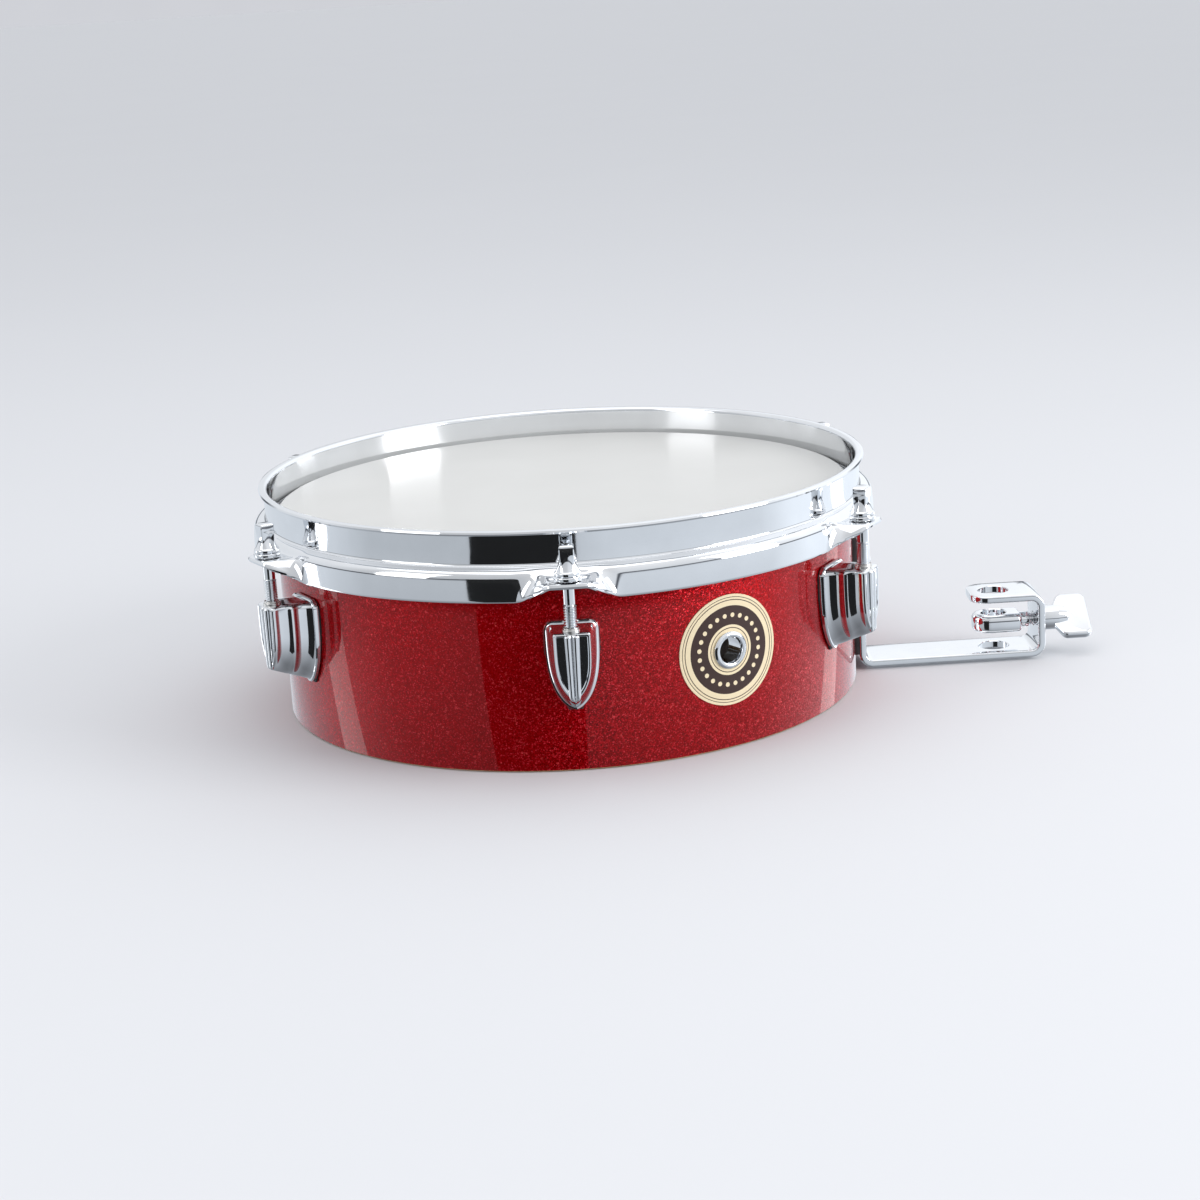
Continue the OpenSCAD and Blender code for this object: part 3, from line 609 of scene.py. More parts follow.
def hoop_heading(lift, share):
    """Direction of the sheet in degrees at a share of its length below the wall."""
    shoulder, skirt_turn, skirt_tuck, ear_dip = -15, -70, -9, -40
    skirt = shoulder + skirt_turn * eased(share, 0.1, 0.4) + skirt_tuck * max(0, share - 0.4)
    dip = eased(share, 0.0, 0.16) - eased(share, 0.2, 0.42)
    ear = shoulder * (1 - eased(share, 0.2, 0.4)) + ear_dip * dip
    return skirt * (1 - lift) + ear * lift


def hoop_centreline(lift):
    """Middle of the sheet from the rolled lip to the free edge, as (radius, height, half thickness)."""
    roll, fillet = 0.8, 2.2
    roll_r, roll_z = WALL_R + roll, HOOP_TOP - SHEET_HALF - roll
    fillet_r, fillet_z = WALL_R + fillet, EAR_TOP + 4.1
    tip_r = LIP_R - SHEET_HALF
    line = [(r, roll_z + roll, SHEET_HALF) for r in (tip_r, tip_r - 0.5, roll_r + 0.1)]
    for k in range(7):
        angle = math.radians(90 + 90 * k / 6)
        line.append((roll_r + roll * math.cos(angle), roll_z + roll * math.sin(angle), SHEET_HALF))
    line.append((WALL_R, fillet_z + 5, SHEET_HALF))
    for k in range(6):
        angle = math.radians(180 + 75 * k / 5)
        line.append((fillet_r + fillet * math.cos(angle), fillet_z + fillet * math.sin(angle), SHEET_HALF))
    r, z, _ = line[-1]
    length = SKIRT_RUN * (1 - lift) + EAR_RUN * lift - FLARE_TRIM * 4 * lift * (1 - lift)
    steps = 34
    for k in range(1, steps + 1):
        heading = math.radians(hoop_heading(lift, (k - 0.5) / steps))
        r += length / steps * math.cos(heading)
        z += length / steps * math.sin(heading)
        share = min(1, 3 * k / steps)
        line.append((r, z, SHEET_HALF + (EAR_HALF - SHEET_HALF) * lift * share))
    return line


def hoop_section(lift):
    """Closed outline of the sheet: one side, a round edge, the other side and a round edge."""
    line = hoop_centreline(lift)
    last = len(line) - 1
    left, right, caps = [], [], {}
    for i, (r, z, half) in enumerate(line):
        before, after = line[max(i - 1, 0)], line[min(i + 1, last)]
        middle = Vector((r, z))
        along = Vector((after[0] - before[0], after[1] - before[1])).normalized() * half
        normal = Vector((-along.y, along.x))
        left.append(tuple(middle + normal))
        right.append(tuple(middle - normal))
        if i in (0, last):
            end = along if i else -along
            turns = [math.pi / 2 - math.pi * k / 4 for k in range(1, 4)]
            caps[i] = [tuple(middle + end * math.cos(turn) + normal * math.sin(turn)) for turn in turns]
    return left + caps[last] + right[::-1] + caps[0][::-1]


def hoop_angles():
    """Sections round the hoop, closer together where the sheet flares into an ear."""
    near = math.degrees(math.asin((EAR_FLARE + 1) / PITCH_R))
    gap = 60 - 2 * near
    angles = []
    for azimuth in LUG_AZIMUTHS:
        angles += [azimuth - near + 2 * near * k / 96 for k in range(97)]
        angles += [azimuth + near + gap * k / 32 for k in range(1, 32)]
    return angles


def build_hoop():
    points = []
    angles = hoop_angles()
    for azimuth in angles:
        from_ear = abs((azimuth + 30) % 60 - 30)
        aside = PITCH_R * math.sin(math.radians(from_ear))
        section = hoop_section((1 - eased(aside, EAR_FLAT, EAR_FLARE)) ** 1.5)
        turn = math.radians(azimuth)
        points += [(r * math.sin(turn), -r * math.cos(turn), z) for r, z in section]
    hoop = points, grid_faces(len(angles), len(section), True, True)
    holes = at_rods(bore(ROD_HOLE_R, 2 * EAR_HALF + 0.4, 0.3), EAR_TOP - 2.8)
    add_piece("triple_flanged_hoop", combined(mesh_of("triple_flanged_hoop", hoop), holes, "DIFFERENCE"),
              CHROME, "tension_hoop", "chrome", "counter_hoop")


# ---- Lugs ----

RIM_TOP = LUG_TOP + 1.0
BODY_START = 3.0         # these four are depths out from the wrap
RIDGE = 10.6
SHIELD_EDGE = 18.3
SHIELD_FACE = 19.1
RIB_R = 1.5
NUT_R = 3.5
NUT_BASE = 44


def lug_outline(top, half, corner, tip, power, blunt):
    """Closed outline in (x, z): flat top, soft corners, sides that curve in to the tip."""
    right = [(0, top), ((half - corner) / 2, top)]
    for k in range(7):
        angle = math.pi / 2 * (1 - k / 6)
        right.append((half - corner + corner * math.cos(angle), top - corner + corner * math.sin(angle)))
    start = top - corner
    sides = 26
    for k in range(1, sides + 1):
        share = 1 - (1 - k / sides) ** 1.7
        right.append((half * (1 - share ** power) ** blunt, start + (tip - start) * share))
    left = [(-x, z) for x, z in right[1:-1]]
    return right + left[::-1]


def lug_station(share, inset=0.0, top=LUG_TOP):
    """Outline of the lug's body between its base (share 0) and its front shield (share 1)."""
    def between(base, shield):
        return base + (shield - base) * share
    return lug_outline(
        top - inset, between(9.7, 7.5) - inset, between(2.6, 1.1) - inset * 0.3,
        between(LUG_TIP + 1.7, LUG_TIP + 8.3) + inset * 1.7, between(3.1, 4.2), between(0.67, 0.9))


def scooped(share, hollow):
    """A station pulled in by hollow, fading out at the flat top and at the middle."""
    top_fade, middle_fade = 1.2, 3.0
    ring = lug_station(share)
    pulled = []
    for i, (x, z) in enumerate(ring):
        along = (Vector(ring[(i + 1) % len(ring)]) - Vector(ring[i - 1])).normalized()
        level = max(0.0, min(1.0, (LUG_TOP - z) / top_fade))
        pull = hollow * level * min(1.0, abs(x) / middle_fade)
        pulled.append((x + along.y * pull, z - along.x * pull))
    return pulled


def lug_body():
    """Rings from the seat on the shell out to the shield."""
    base = lug_outline(RIM_TOP, 11.0, 4.0, LUG_TIP, 3.1, 0.62)
    base_soft = lug_outline(RIM_TOP - 0.3, 10.75, 3.8, LUG_TIP + 0.4, 3.1, 0.64)
    rings = [(0.8, base), (1.7, base), (2.3, base_soft)]
    rings.append((2.4, lug_outline(RIM_TOP - 0.9, 10.2, 3.2, LUG_TIP + 1.1, 3.1, 0.66)))
    hollow, steps = 0.85, 8
    for start, end in ((BODY_START, RIDGE - 0.2), (RIDGE + 0.2, SHIELD_EDGE)):
        for k in range(steps + 1):
            depth = start + (end - start) * k / steps
            share = (depth - BODY_START) / (SHIELD_EDGE - BODY_START)
            rings.append((depth, scooped(share, hollow * 4 * (k / steps) * (1 - k / steps))))
    for depth, inset in ((18.8, 0.08), (19.3, 0.35), (19.5, 0.75), (19.4, 1.2), (SHIELD_FACE, 1.5)):
        rings.append((depth, lug_station(1, inset)))
    placed = []
    for i, (depth, ring) in enumerate(rings):
        if i == 0:
            placed.append([(x, -math.sqrt(SEAT_R ** 2 - x * x), z) for x, z in ring])
        else:
            placed.append([(x, -WRAP_R - depth, z) for x, z in ring])
    return loft(placed)


def rounded_end(distance, reach):
    """Size of a rib near its end: nearly 0 at the end, and 1 from reach on."""
    left = 1 - min(1, distance / reach)
    return math.sqrt(max(0.02, 1 - left ** 2))


def lug_rib(side):
    """Half-round rib on the shield's face; the two ribs close in on each other towards the tip."""
    low, high = LUG_TIP + 8.8, LUG_TOP - 0.5
    lower_reach, upper_reach, tip_share = 2.6, 1.2, 0.78
    rings = []
    for k in range(33):
        z = low + (high - low) * (1 - math.cos(math.pi * k / 32)) / 2
        size = rounded_end(z - low, lower_reach) * rounded_end(high - z, upper_reach)
        taper = tip_share + (1 - tip_share) * (z - low) / (high - low)
        x, radius = side * RIB_R * taper * 1.02, RIB_R * taper
        ring = []
        for j in range(24):
            angle = 2 * math.pi * j / 24
            ring.append((x * (0.6 + 0.4 * size) + radius * (0.35 + 0.65 * size) * math.cos(angle),
                         -WRAP_R - SHIELD_FACE - radius * size * math.sin(angle), z))
        rings.append(ring)
    return loft(rings)


def build_lugs():
    mesh = mesh_of("lug", lug_body(), 24)
    for side in (-1, 1):
        mesh = combined(mesh, lug_rib(side), "UNION", 24)
    nut_bore = moved(bore(NUT_R + 0.05, 40), Matrix.Translation((0, -PITCH_R, NUT_BASE - 1)))
    mesh = combined(mesh, nut_bore, "DIFFERENCE", 24)
    for i, azimuth in enumerate(LUG_AZIMUTHS):
        copy = mesh.copy()
        copy.transform(at_azimuth(azimuth))
        add_piece(f"shield_lug_{i + 1}", copy, CHROME, "drum_shell", "chrome", f"lug_{i + 1}")


def build_swivel_nuts():
    top, bore_r, collar_r = nut_high.z, 2.8, 3.15
    outline = soft_corners([
        (bore_r, NUT_BASE), (NUT_R, NUT_BASE, 0.4), (NUT_R, top - 0.7, 0.4), (collar_r, top - 0.6, 0.1),
        (collar_r, top, 0.2), (bore_r, top, 0.15)], 3)
    add_piece("swivel_nut_set", mesh_of("swivel_nut_set", at_rods(lathe(outline, 48))),
              STEEL, "drum_shell", "steel", "swivel_nuts")


# ---- Tension rods ----

def thread(crest, root, low, high, pitch, around=20, per_turn=8):
    """Rod along Z with a helical thread from low to high."""
    crest_flat = 1.35
    rings = []
    count = int((high - low) / pitch * per_turn)
    for i in range(count + 1):
        z = low + (high - low) * i / count
        ease = min(1, (z - low) / pitch, (high - z) / pitch)
        ring = []
        for j in range(around):
            angle = 2 * math.pi * j / around
            phase = (z / pitch - j / around) % 1
            tooth = 1 - abs(2 * phase - 1)
            radius = root + (crest - root) * min(1, crest_flat * tooth) * ease
            ring.append((radius * math.cos(angle), radius * math.sin(angle), z))
        rings.append(ring)
    return loft(rings)


def rod_head(low, high, width):
    """Square head whose sides run down into a round bell."""
    half, corner, around = width / 2, 0.55, 48

    def ring(z, round_r, roundness, size=1.0):
        points = []
        for j in range(around):
            angle = 2 * math.pi * (j + 0.5) / around
            c, s = math.cos(angle), math.sin(angle)
            square = min(half / max(abs(c), abs(s)), (half - corner) * math.sqrt(2) + corner)
            radius = (square * (1 - roundness) + round_r * roundness) * size
            points.append((radius * c, radius * s, z))
        return points

    bell = [(0, 4.5, 1), (0.7, 4.2, 1), (1.6, 3.85, 0.85), (2.8, 3.6, 0.6), (4.2, 3.4, 0.35),
            (5.6, 3.3, 0.12), (6.6, 3.3, 0)]
    crown = [(0.8, 1), (0.4, 0.96), (0.1, 0.86), (0, 0.76)]
    rings = [ring(low + up, round_r, roundness) for up, round_r, roundness in bell]
    return loft(rings + [ring(high - down, half, 0, size) for down, size in crown])


def build_rods():
    seat = washer_high.z + 0.03        # a hair of air, so that the turning flange clears the washer
    flange_r, shank_r, shank_low = 5.2, 2.43, THREAD_TOP - 0.5
    shoulder = seat + 2.5
    flange = soft_corners([
        (0, shank_low), (shank_r, shank_low), (shank_r, seat, 0.3), (flange_r - 0.7, seat),
        (flange_r, seat + 0.5), (flange_r, seat + 1.5, 0.4), (flange_r - 0.6, seat + 2.1, 0.3),
        (4.4, shoulder), (0, shoulder)], 3)
    shape = joined([
        lathe(flange, 64),
        rod_head(shoulder - 0.3, rod_high.z, 5.9),
        thread(2.75, 2.0, rod_low.z, THREAD_TOP, THREAD_PITCH)])
    mesh = mesh_of("rod", shape, 30)
    # Faces below the plain part take the thread material: bare steel, darkened as painted shade for its
    # grooves.
    for face in mesh.polygons:
        face.material_index = 1 if face.center.z < THREAD_TOP * MM else 0
    for i, azimuth in enumerate(LUG_AZIMUTHS):
        copy = mesh.copy()
        copy.transform(at_azimuth(azimuth, 0, -PITCH_R * MM))
        add_piece(f"key_rod_{i + 1}", copy, CHROME, f"rod_{i + 1}", "chrome", f"tension_rod_{i + 1}")
        copy.materials.append(THREAD_STEEL_AND_PAINTED_SHADE)


def build_washers():
    low, high, in_r, out_r = washer_low.z, washer_high.z, 2.9, 5.6
    ring = soft_corners([(in_r, low, 0.2), (out_r, low, 0.35), (out_r, high, 0.45), (in_r, high, 0.25)], 3)
    add_piece("rod_washer_set", mesh_of("rod_washer_set", at_rods(lathe(ring, 64))),
              CHROME, "tension_hoop", "steel", "rod_washers")


# ---- Badge and vent ----

def build_badge():
    """The badge keeps its CAD shape and gets its print."""
    badge = frame["nodes"]["badge"]
    badge.data.materials.clear()
    badge.data.materials.append(BADGE)


def build_vent():
    """Rolled grommet through the wall, from its inner flange to the ring on the badge."""
    inside, barrel, badge_t = 5.1, 5.9, 0.4
    start = INNER_R - 1.6
    face = WRAP_R + badge_t - start
    flange = barrel + 1.6
    outline = soft_corners([
        (inside, 0, 0.3), (flange, 0, 0.5), (flange, 1.2, 0.4), (barrel, 1.5, 0.2), (barrel, face),
        (barrel + 1.9, face, 0.1), (barrel + 1.9, face + 0.55, 0.3), (barrel + 0.9, face + 1.25, 0.5),
        (inside + 0.5, face + 1.1, 0.6), (inside, face - 0.2, 0.5)], 4)
    ring = moved(lathe(outline, 72), outward(BADGE_AZIMUTH, start, BADGE_Z))
    add_piece("vent_ring", mesh_of("vent_ring", ring), CHROME, "drum_shell", "chrome", "vent_grommet")


# ---- Rod bracket ----

STRAP_HALF_W = (bracket_high.y - bracket_low.y) / 2
STRAP_T = 3.2
BEND_R = 3.0 + STRAP_T / 2
CLAMP_X = 190.0
CLAMP_Z = (eye_low.z + eye_high.z) / 2
EAR_TIP_X = CLAMP_X - 11.4
EAR_LOW_Z = 26.8
LEG_TOP_Z = 60.0
EYE_NOSE_X, EYE_BACK_X = CLAMP_X - 2, CLAMP_X + 12
EYE_BORE_R = 5.6


def strap_path():
    """Middle of the strap in (x, z) with its heading, from the leg's top to the ear's tip."""
    leg = bracket_low.x + STRAP_T / 2
    wall = bracket_high.x - STRAP_T / 2
    low = bracket_low.z + STRAP_T / 2
    ear = EAR_LOW_Z + STRAP_T / 2
    corners = [(leg, LEG_TOP_Z), (leg, low), (wall, low), (wall, ear), (EAR_TIP_X, ear)]
    path = []
    end_steps = [0.0, 0.35, 1.0, 2.0, 3.2, 4.8, 6.4, 8.0]
    for i, corner in enumerate(corners):
        here = Vector(corner)
        if i in (0, len(corners) - 1):
            other = Vector(corners[1] if i == 0 else corners[-2])
            along = (other - here).normalized()
            stops = [here + along * s for s in end_steps]
            path += stops if i == 0 else stops[::-1]
            continue
        before = (Vector(corners[i - 1]) - here).normalized()
        after = (Vector(corners[i + 1]) - here).normalized()
        centre = here + (before + after) * BEND_R
        for k in range(9):
            turn = math.pi / 2 * k / 8
            path.append(centre - after * BEND_R * math.cos(turn) - before * BEND_R * math.sin(turn))
    return path


def strap_holes():
    """Cutters for the clamped rod's two holes, the eye bolt's hole and the two bolts' holes."""
    clamp_hole_r, eye_hole_r = 6.75, 3.3
    through = bore(clamp_hole_r, STRAP_T, 0.35)
    cutters = [moved(through, Matrix.Translation((CLAMP_X, 0, z))) for z in (bracket_low.z, EAR_LOW_Z)]
    cutters.append(moved(bore(eye_hole_r, STRAP_T, 0.3), along_x(bracket_high.x - STRAP_T, 0, CLAMP_Z)))
    leg = bore(BOLT_HOLE_R, STRAP_T + 1)
    return cutters + [moved(leg, along_x(bracket_low.x - 0.5, 0, z)) for z in BOLT_ZS]


def build_strap():
    """Flat strap with tumbled edges and round ends, bent along its path."""
    path = strap_path()
    round_end, edge = 8.0, 0.75
    lengths = [0.0]
    for a, b in zip(path, path[1:]):
        lengths.append(lengths[-1] + (b - a).length)
    rings = []
    for i, here in enumerate(path):
        along = (path[min(i + 1, len(path) - 1)] - path[max(i - 1, 0)]).normalized()
        normal = Vector((-along.y, along.x))
        near_end = min(lengths[i], lengths[-1] - lengths[i], round_end)
        half_w = STRAP_HALF_W - round_end + math.sqrt(round_end ** 2 - (round_end - near_end) ** 2)
        at_tip = i in (0, len(path) - 1)
        half_t = STRAP_T / 2 - (edge * 0.6 if at_tip else 0)
        half_w -= edge * 0.3 if at_tip else 0
        section = soft_corners([(-half_t, -half_w, edge), (half_t, -half_w, edge),
                                (half_t, half_w, edge), (-half_t, half_w, edge)], 3)
        rings.append([(here.x + normal.x * n, y, here.y + normal.y * n) for n, y in section])
    mesh = mesh_of("bent_strap", loft(rings), 40)
    for cutter in strap_holes():
        mesh = combined(mesh, cutter, "DIFFERENCE", 40)
    add_piece("bent_strap", mesh, CHROME, "drum_shell", "chrome", "mount_bracket")


def eye_block(half_h):
    """The eye before it is drilled: a round-nosed block with softened rims."""
    radius, soft = eye_high.y, 2.6
    plan = [(EYE_NOSE_X + radius * math.cos(math.radians(a)), radius * math.sin(math.radians(a)))
            for a in range(90, 271, 6)]
    plan += soft_corners([
        (EYE_NOSE_X + 4, -radius), (EYE_BACK_X, -radius, 2.2), (EYE_BACK_X, radius, 2.2),
        (EYE_NOSE_X + 4, radius)])
    rings = []
    for k in range(13):
        turn = math.pi * k / 12
        side = (k < 6) - (k > 6)
        level = CLAMP_Z - (half_h - soft) * side - soft * math.cos(turn)
        inset = soft * (1 - math.sin(turn))
        ring = []
        for x, y in plan:
            spine = Vector((max(min(x, EYE_BACK_X - radius * 0.4), EYE_NOSE_X), 0))
            spoke = Vector((x, y)) - spine
            kept = Vector((x, y)) - spoke * min(0.6, inset / max(spoke.length, 1e-6))
            ring.append((kept.x, kept.y, level))
        rings.append(ring)
    return loft(rings)


def build_eye_bolt():
    """Cast eye with a round nose, a collar and a threaded tail."""
    half_h = (eye_high.z - eye_low.z) / 2
    hole = moved(bore(EYE_BORE_R, 2 * half_h, 0.5), Matrix.Translation((CLAMP_X, 0, eye_low.z)))
    mesh = combined(mesh_of("eye", eye_block(half_h), 40), hole, "DIFFERENCE", 40)
    tail_x = EYE_BACK_X - 0.6
    radius, length, overlap = 3.5, 4.5, 0.6
    collar = lathe(soft_corners([
        (0, 0), (radius, 0), (radius, length - 0.1, 0.4), (2.2, length), (0, length)], 3), 48)
    stud_x = tail_x + length - overlap
    stud = thread(3.0, 2.45, 0, eye_high.x - stud_x, 1.0, 24)
    mesh = combined(mesh, moved(collar, along_x(tail_x, 0, CLAMP_Z)), "UNION", 40)
    mesh = combined(mesh, moved(stud, along_x(stud_x, 0, CLAMP_Z)), "UNION", 40)
    add_piece("eye_clamp", mesh, CHROME, "eye", "chrome", "eye_bolt")


def build_wing_nut():
    """Round hub with two blunt wings, its bore open to the bolt."""
    seat = bracket_high.x + 0.1
    tip, reach, half_t, soft = wing_high.x - seat, 12, 2.0, 1.6
    tilt = math.radians(35)
    hub = lathe(soft_corners([(0, 0), (5.5, 0, 0.5), (5.5, 7.6, 0.8), (4.4, 12.2, 1.2), (0, 13)], 5), 64)
    outline = soft_corners([
        (4.6, -3.6), (9.2, -reach, 3.0), (tip, -reach, 3.4), (tip, reach, 3.4), (9.2, reach, 3.0),
        (4.6, 3.6)], 6)
    centre = Vector((12.5, 0))
    rings = []
    for k in range(9):
        turn = math.pi * k / 8
        inset = soft * (1 - math.sin(turn)) ** 1.5
        kept = [centre + (Vector(p) - centre) * (1 - inset / (Vector(p) - centre).length) for p in outline]
        rings.append([(p.x, p.y, -half_t * math.cos(turn)) for p in kept])
    mesh = mesh_of("wing", moved(hub, along_x(0, 0, 0)))
    mesh = combined(mesh, loft(rings), "UNION")
    mesh = combined(mesh, moved(bore(3.05, 11.2), along_x(-1, 0, 0)), "DIFFERENCE")
    mesh.transform(Matrix.Translation((seat * MM, 0, CLAMP_Z * MM)) @ Matrix.Rotation(tilt, 4, "X"))
    add_piece("wing_nut_cast", mesh, CHROME, "wing", "chrome", "wing_nut")


# ---- Snare wires and the pieces that keep their CAD shape ----

def coil(x, z):
    """One strand along Y: a helix of thin wire."""
    coil_r, wire_r, length = 0.75, 0.25, 176.0
    turns, per_turn, sides = 100, 10, 5
    steps = turns * per_turn
    rings = []
    for k in range(steps + 1):
        angle = 2 * math.pi * k / per_turn
        out = Vector((math.cos(angle), 0, math.sin(angle)))
        centre = Vector((x, -length / 2 + length * k / steps, z)) + out * coil_r
        ring = []
        for j in range(sides):
            around = 2 * math.pi * j / sides
            slant = Vector((0, wire_r * 1.6 * math.sin(around), 0))
            ring.append(tuple(centre + out * wire_r * math.cos(around) + slant))
        rings.append(ring)
    return loft(rings)


def build_wires():
    strands, pitch = 10, 3.6
    level = wires_high.z - 1.0
    coils = joined([coil((i - (strands - 1) / 2) * pitch, level) for i in range(strands)])
    mesh = mesh_of("coiled_wires", moved(coils, at_azimuth(STRAINER_AZIMUTH)), 60)
    add_piece("coiled_wires", mesh, WIRE, "snare_frame", "wire", "snare_wires")


def finish_cad_pieces():
    """Machined and pressed pieces keep their CAD shape with eased edges."""
    pieces = [
        ("gasket_set", "lug_gaskets", RUBBER, "drum_shell", "rubber", 0.12),
        ("screw_set", "lug_screws", STEEL, "drum_shell", "steel", 0.25),
        ("screw_washer_set", "lug_washers", STEEL, "drum_shell", "steel", 0.2),
        ("strap_pad", "bracket_pad", RUBBER, "drum_shell", "rubber", 0.3),
        ("inner_plate", "backing_plate", STEEL, "drum_shell", "steel", 0.4),
        ("bracket_bolt_set", "bracket_bolts", CHROME, "drum_shell", "chrome", 0.5),
        ("bracket_nut_set", "bracket_nuts", STEEL, "drum_shell", "steel", 0.5),
        ("strainer_frame", "strainer_base", CHROME, "drum_shell", "chrome", 0.7),
        ("strainer_seat", "strainer_gasket", RUBBER, "drum_shell", "rubber", 0.12),
        ("strainer_screw_set", "strainer_screws", STEEL, "drum_shell", "steel", 0.25),
        ("pivot_pin", "lever_pin", STEEL, "drum_shell", "steel", 0.4),
        ("lever", "throw_off_lever", CHROME, "throw_off", "chrome", 0.8),
        ("slider", "snare_slider", CHROME, "strainer_slide", "chrome", 0.6),
        ("knob", "snare_knob", CHROME, "tension_knob", "chrome", 0.4),
        ("carrier", "snare_carrier", ALLOY, "snare_frame", "alloy", 0.6),
        ("end_bars", "snare_end_bars", ALLOY, "snare_frame", "alloy", 0.8),
        ("guide_strip", "guide_bar", STEEL, "drum_shell", "steel", 0.4),
        ("guide_post", "guide_pin", STEEL, "drum_shell", "steel", 0.5),
    ]
    for name, source, material, body, slot, width in pieces:
        eased_piece(name, source, material, body, slot, width)


# ---- Studio, in metres ----

MIDDLE = (0, 0, 0.06)
FLOOR_SIZE = 60


def studio_material(name, colour):
    material, tree, shader = new_material(name)
    shader.inputs["Roughness"].default_value = 0.9
    put(tree, shader.inputs["Base Color"], ramp(tree, noise(tree, place(tree), 3, 2), [
        (0.0, tuple(c * 0.985 for c in colour)), (1.0, colour)]))
    return material


def stage_plane(name, size_x, size_y, matrix, material):
    mesh = bpy.data.meshes.new(name)
    x, y = size_x / 2, size_y / 2
    mesh.from_pydata([(-x, -y, 0), (x, -y, 0), (x, y, 0), (-x, y, 0)], [], [(0, 1, 2, 3)])
    mesh.materials.append(material)
    plane = linked(name, mesh)
    plane.matrix_world = matrix
    return plane


def facing(position, target):
    """Matrix at position whose -Z looks at target."""
    ahead = Vector(target) - Vector(position)
    return Matrix.Translation(position) @ ahead.to_track_quat("-Z", "Y").to_matrix().to_4x4()


def softbox(name, position, size_x, size_y, power):
    light = bpy.data.lights.new(name, "AREA")
    light.shape = "RECTANGLE"
    light.size = size_x
    light.size_y = size_y
    light.energy = power
    linked(name, light).matrix_world = facing(position, MIDDLE)


def mirrored_card(name, position, target, size_x, size_y, material):
    """A card that only shows as a shape in the chrome and the gloss."""
    card = stage_plane(name, size_x, size_y, facing(position, target), material)
    card.visible_camera = False
    card.visible_diffuse = False
    card.visible_shadow = False


def glowing_material(name, colour, strength):
    """A surface that glows evenly and reflects nothing."""
    material, tree, shader = new_material(name)
    put(tree, shader.inputs["Emission Color"], ramp(tree, noise(tree, place(tree), 2, 1), [
        (0.0, tuple(c * 0.97 for c in colour)), (1.0, colour)]))
    shader.inputs["Emission Strength"].default_value = strength
    shader.inputs["Base Color"].default_value = (0, 0, 0, 1)
    shader.inputs["Specular IOR Level"].default_value = 0
    material.cycles.emission_sampling = "NONE"
    return material


def build_backdrop():
    """Pale wall standing far out on the floor's rim; only the camera sees it."""
    radius, top, steps = FLOOR_SIZE / 2 - 0.5, 14.0, 96
    points = []
    for i in range(steps):
        angle = 2 * math.pi * i / steps
        points += [(radius * math.cos(angle), radius * math.sin(angle), z) for z in (0.0, top)]
    mesh = bpy.data.meshes.new("backdrop")
    mesh.from_pydata(points, [], grid_faces(steps, 2, True, False))
    mesh.materials.append(glowing_material("pale_backdrop", (0.638, 0.65, 0.691), 1))
    wall = linked("backdrop", mesh)
    wall.visible_diffuse = False
    wall.visible_glossy = False
    wall.visible_shadow = False


def axis_ramp(tree, component, stops):
    """Colours along one axis of the sky; the ramp runs from -1 to +1."""
    return ramp(tree, math_of(tree, "MULTIPLY_ADD", component, 0.5, 0.5), stops)


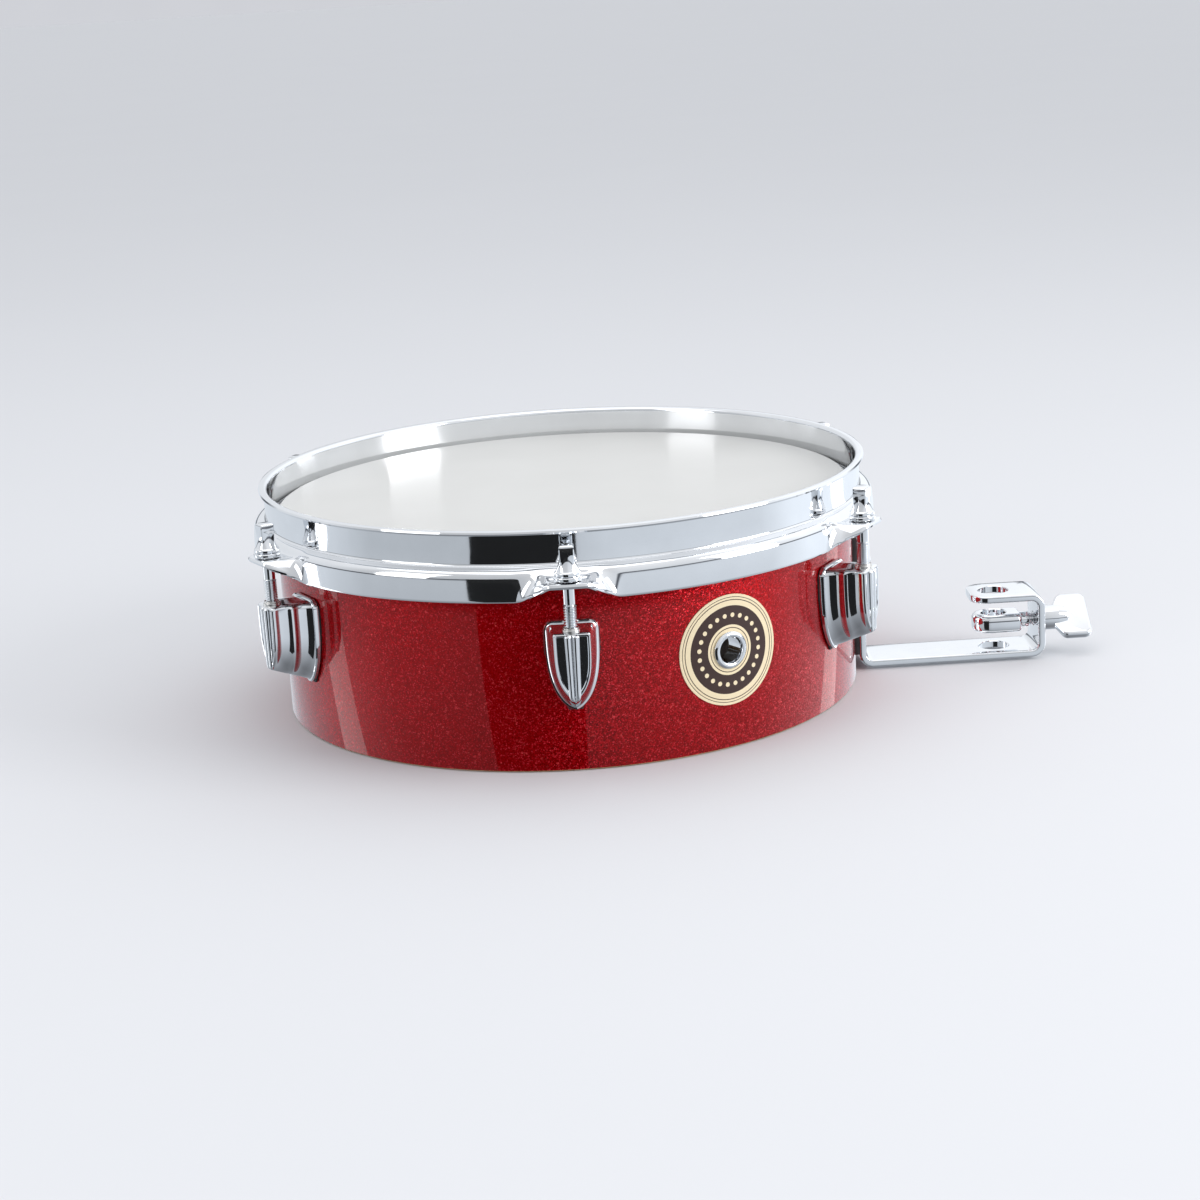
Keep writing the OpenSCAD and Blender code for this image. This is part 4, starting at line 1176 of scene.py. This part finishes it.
def build_world():
    """Pale sky with a dark band at the horizon, brighter to the right and behind the drum."""
    world = bpy.data.worlds.new("studio")
    world.use_nodes = True
    tree = world.node_tree
    direction = tree.nodes.new("ShaderNodeTexCoord").outputs["Generated"]
    x, y, z = node(tree, "ShaderNodeSeparateXYZ", Vector=direction).outputs
    dark = (0.12, 0.13, 0.15)
    sky = axis_ramp(tree, z, [
        (0.0, (0.20, 0.21, 0.23)), (0.16, (0.42, 0.45, 0.49)), (0.30, (0.66, 0.71, 0.77)),
        (0.46, (0.74, 0.79, 0.85)), (0.485, dark), (0.505, dark),
        (0.54, (0.80, 0.83, 0.87)), (1.0, (0.95, 0.96, 0.98))])
    across = axis_ramp(tree, x, [
        (0.0, (0.80,) * 3), (0.45, (0.85,) * 3), (0.62, (1.1,) * 3), (1.0, (1.15,) * 3)])
    behind = axis_ramp(tree, y, [
        (0.0, (0.70,) * 3), (0.40, (0.76,) * 3), (0.56, (1.0,) * 3), (1.0, (1.0,) * 3)])
    falloff = vector_math(tree, "MULTIPLY", across, behind)
    background = tree.nodes["Background"]
    put(tree, background.inputs["Color"], vector_math(tree, "MULTIPLY", sky, falloff))
    background.inputs["Strength"].default_value = 1.2
    scene.world = world


def build_studio():
    scene.view_settings.view_transform = "Standard"
    gap = 0.0002
    floor = stage_plane("floor", FLOOR_SIZE, FLOOR_SIZE, Matrix.Translation((0, 0, cad_bounds[0][2] - gap)),
                        studio_material("pale_floor", (0.665, 0.672, 0.695)))
    floor.visible_glossy = False
    build_backdrop()
    build_world()
    softbox("top_softbox", (-0.2, -0.1, 1.7), 1.6, 1.6, 5)
    softbox("left_strip", (-1.5, -0.9, 0.7), 0.7, 1.4, 5)
    softbox("right_strip", (1.6, -0.7, 0.6), 0.8, 1.3, 20)
    white = (0.97, 0.98, 1.0)
    mirrored_card("camera_side_flag", (-0.24, -0.9, -0.32), (0, 0, -0.32), 0.62, 0.9,
                  studio_material("camera_side_flag", (0.004,) * 3))
    mirrored_card("left_panel", (-1.47, 0.35, -0.42), MIDDLE, 0.34, 0.9,
                  glowing_material("left_panel", white, 2.2))
    mirrored_card("right_panel", (1.2, 0.82, -0.42), MIDDLE, 0.3, 0.9,
                  glowing_material("right_panel", white, 2.5))


def build_camera():
    """Camera at the height, roll and focal length of the reference view."""
    distance, elevation = 1.0849, math.radians(16.63)
    position = Vector((0, -distance * math.cos(elevation), distance * math.sin(elevation)))
    aim = Vector((0.01373, 0, 0.03664))
    roll = math.radians(-3.405)
    data = bpy.data.cameras.new("camera")
    data.sensor_width = 36
    data.lens = 72.08
    data.clip_start = 0.05
    camera = linked("camera", data)
    camera.matrix_world = facing(position, aim) @ Matrix.Rotation(roll, 4, "Z")
    scene.camera = camera


build_camera()
build_shell()
build_head()
build_hoop()
build_lugs()
build_swivel_nuts()
build_rods()
build_washers()
build_badge()
build_vent()
build_strap()
build_eye_bolt()
build_wing_nut()
build_wires()
finish_cad_pieces()
build_studio()
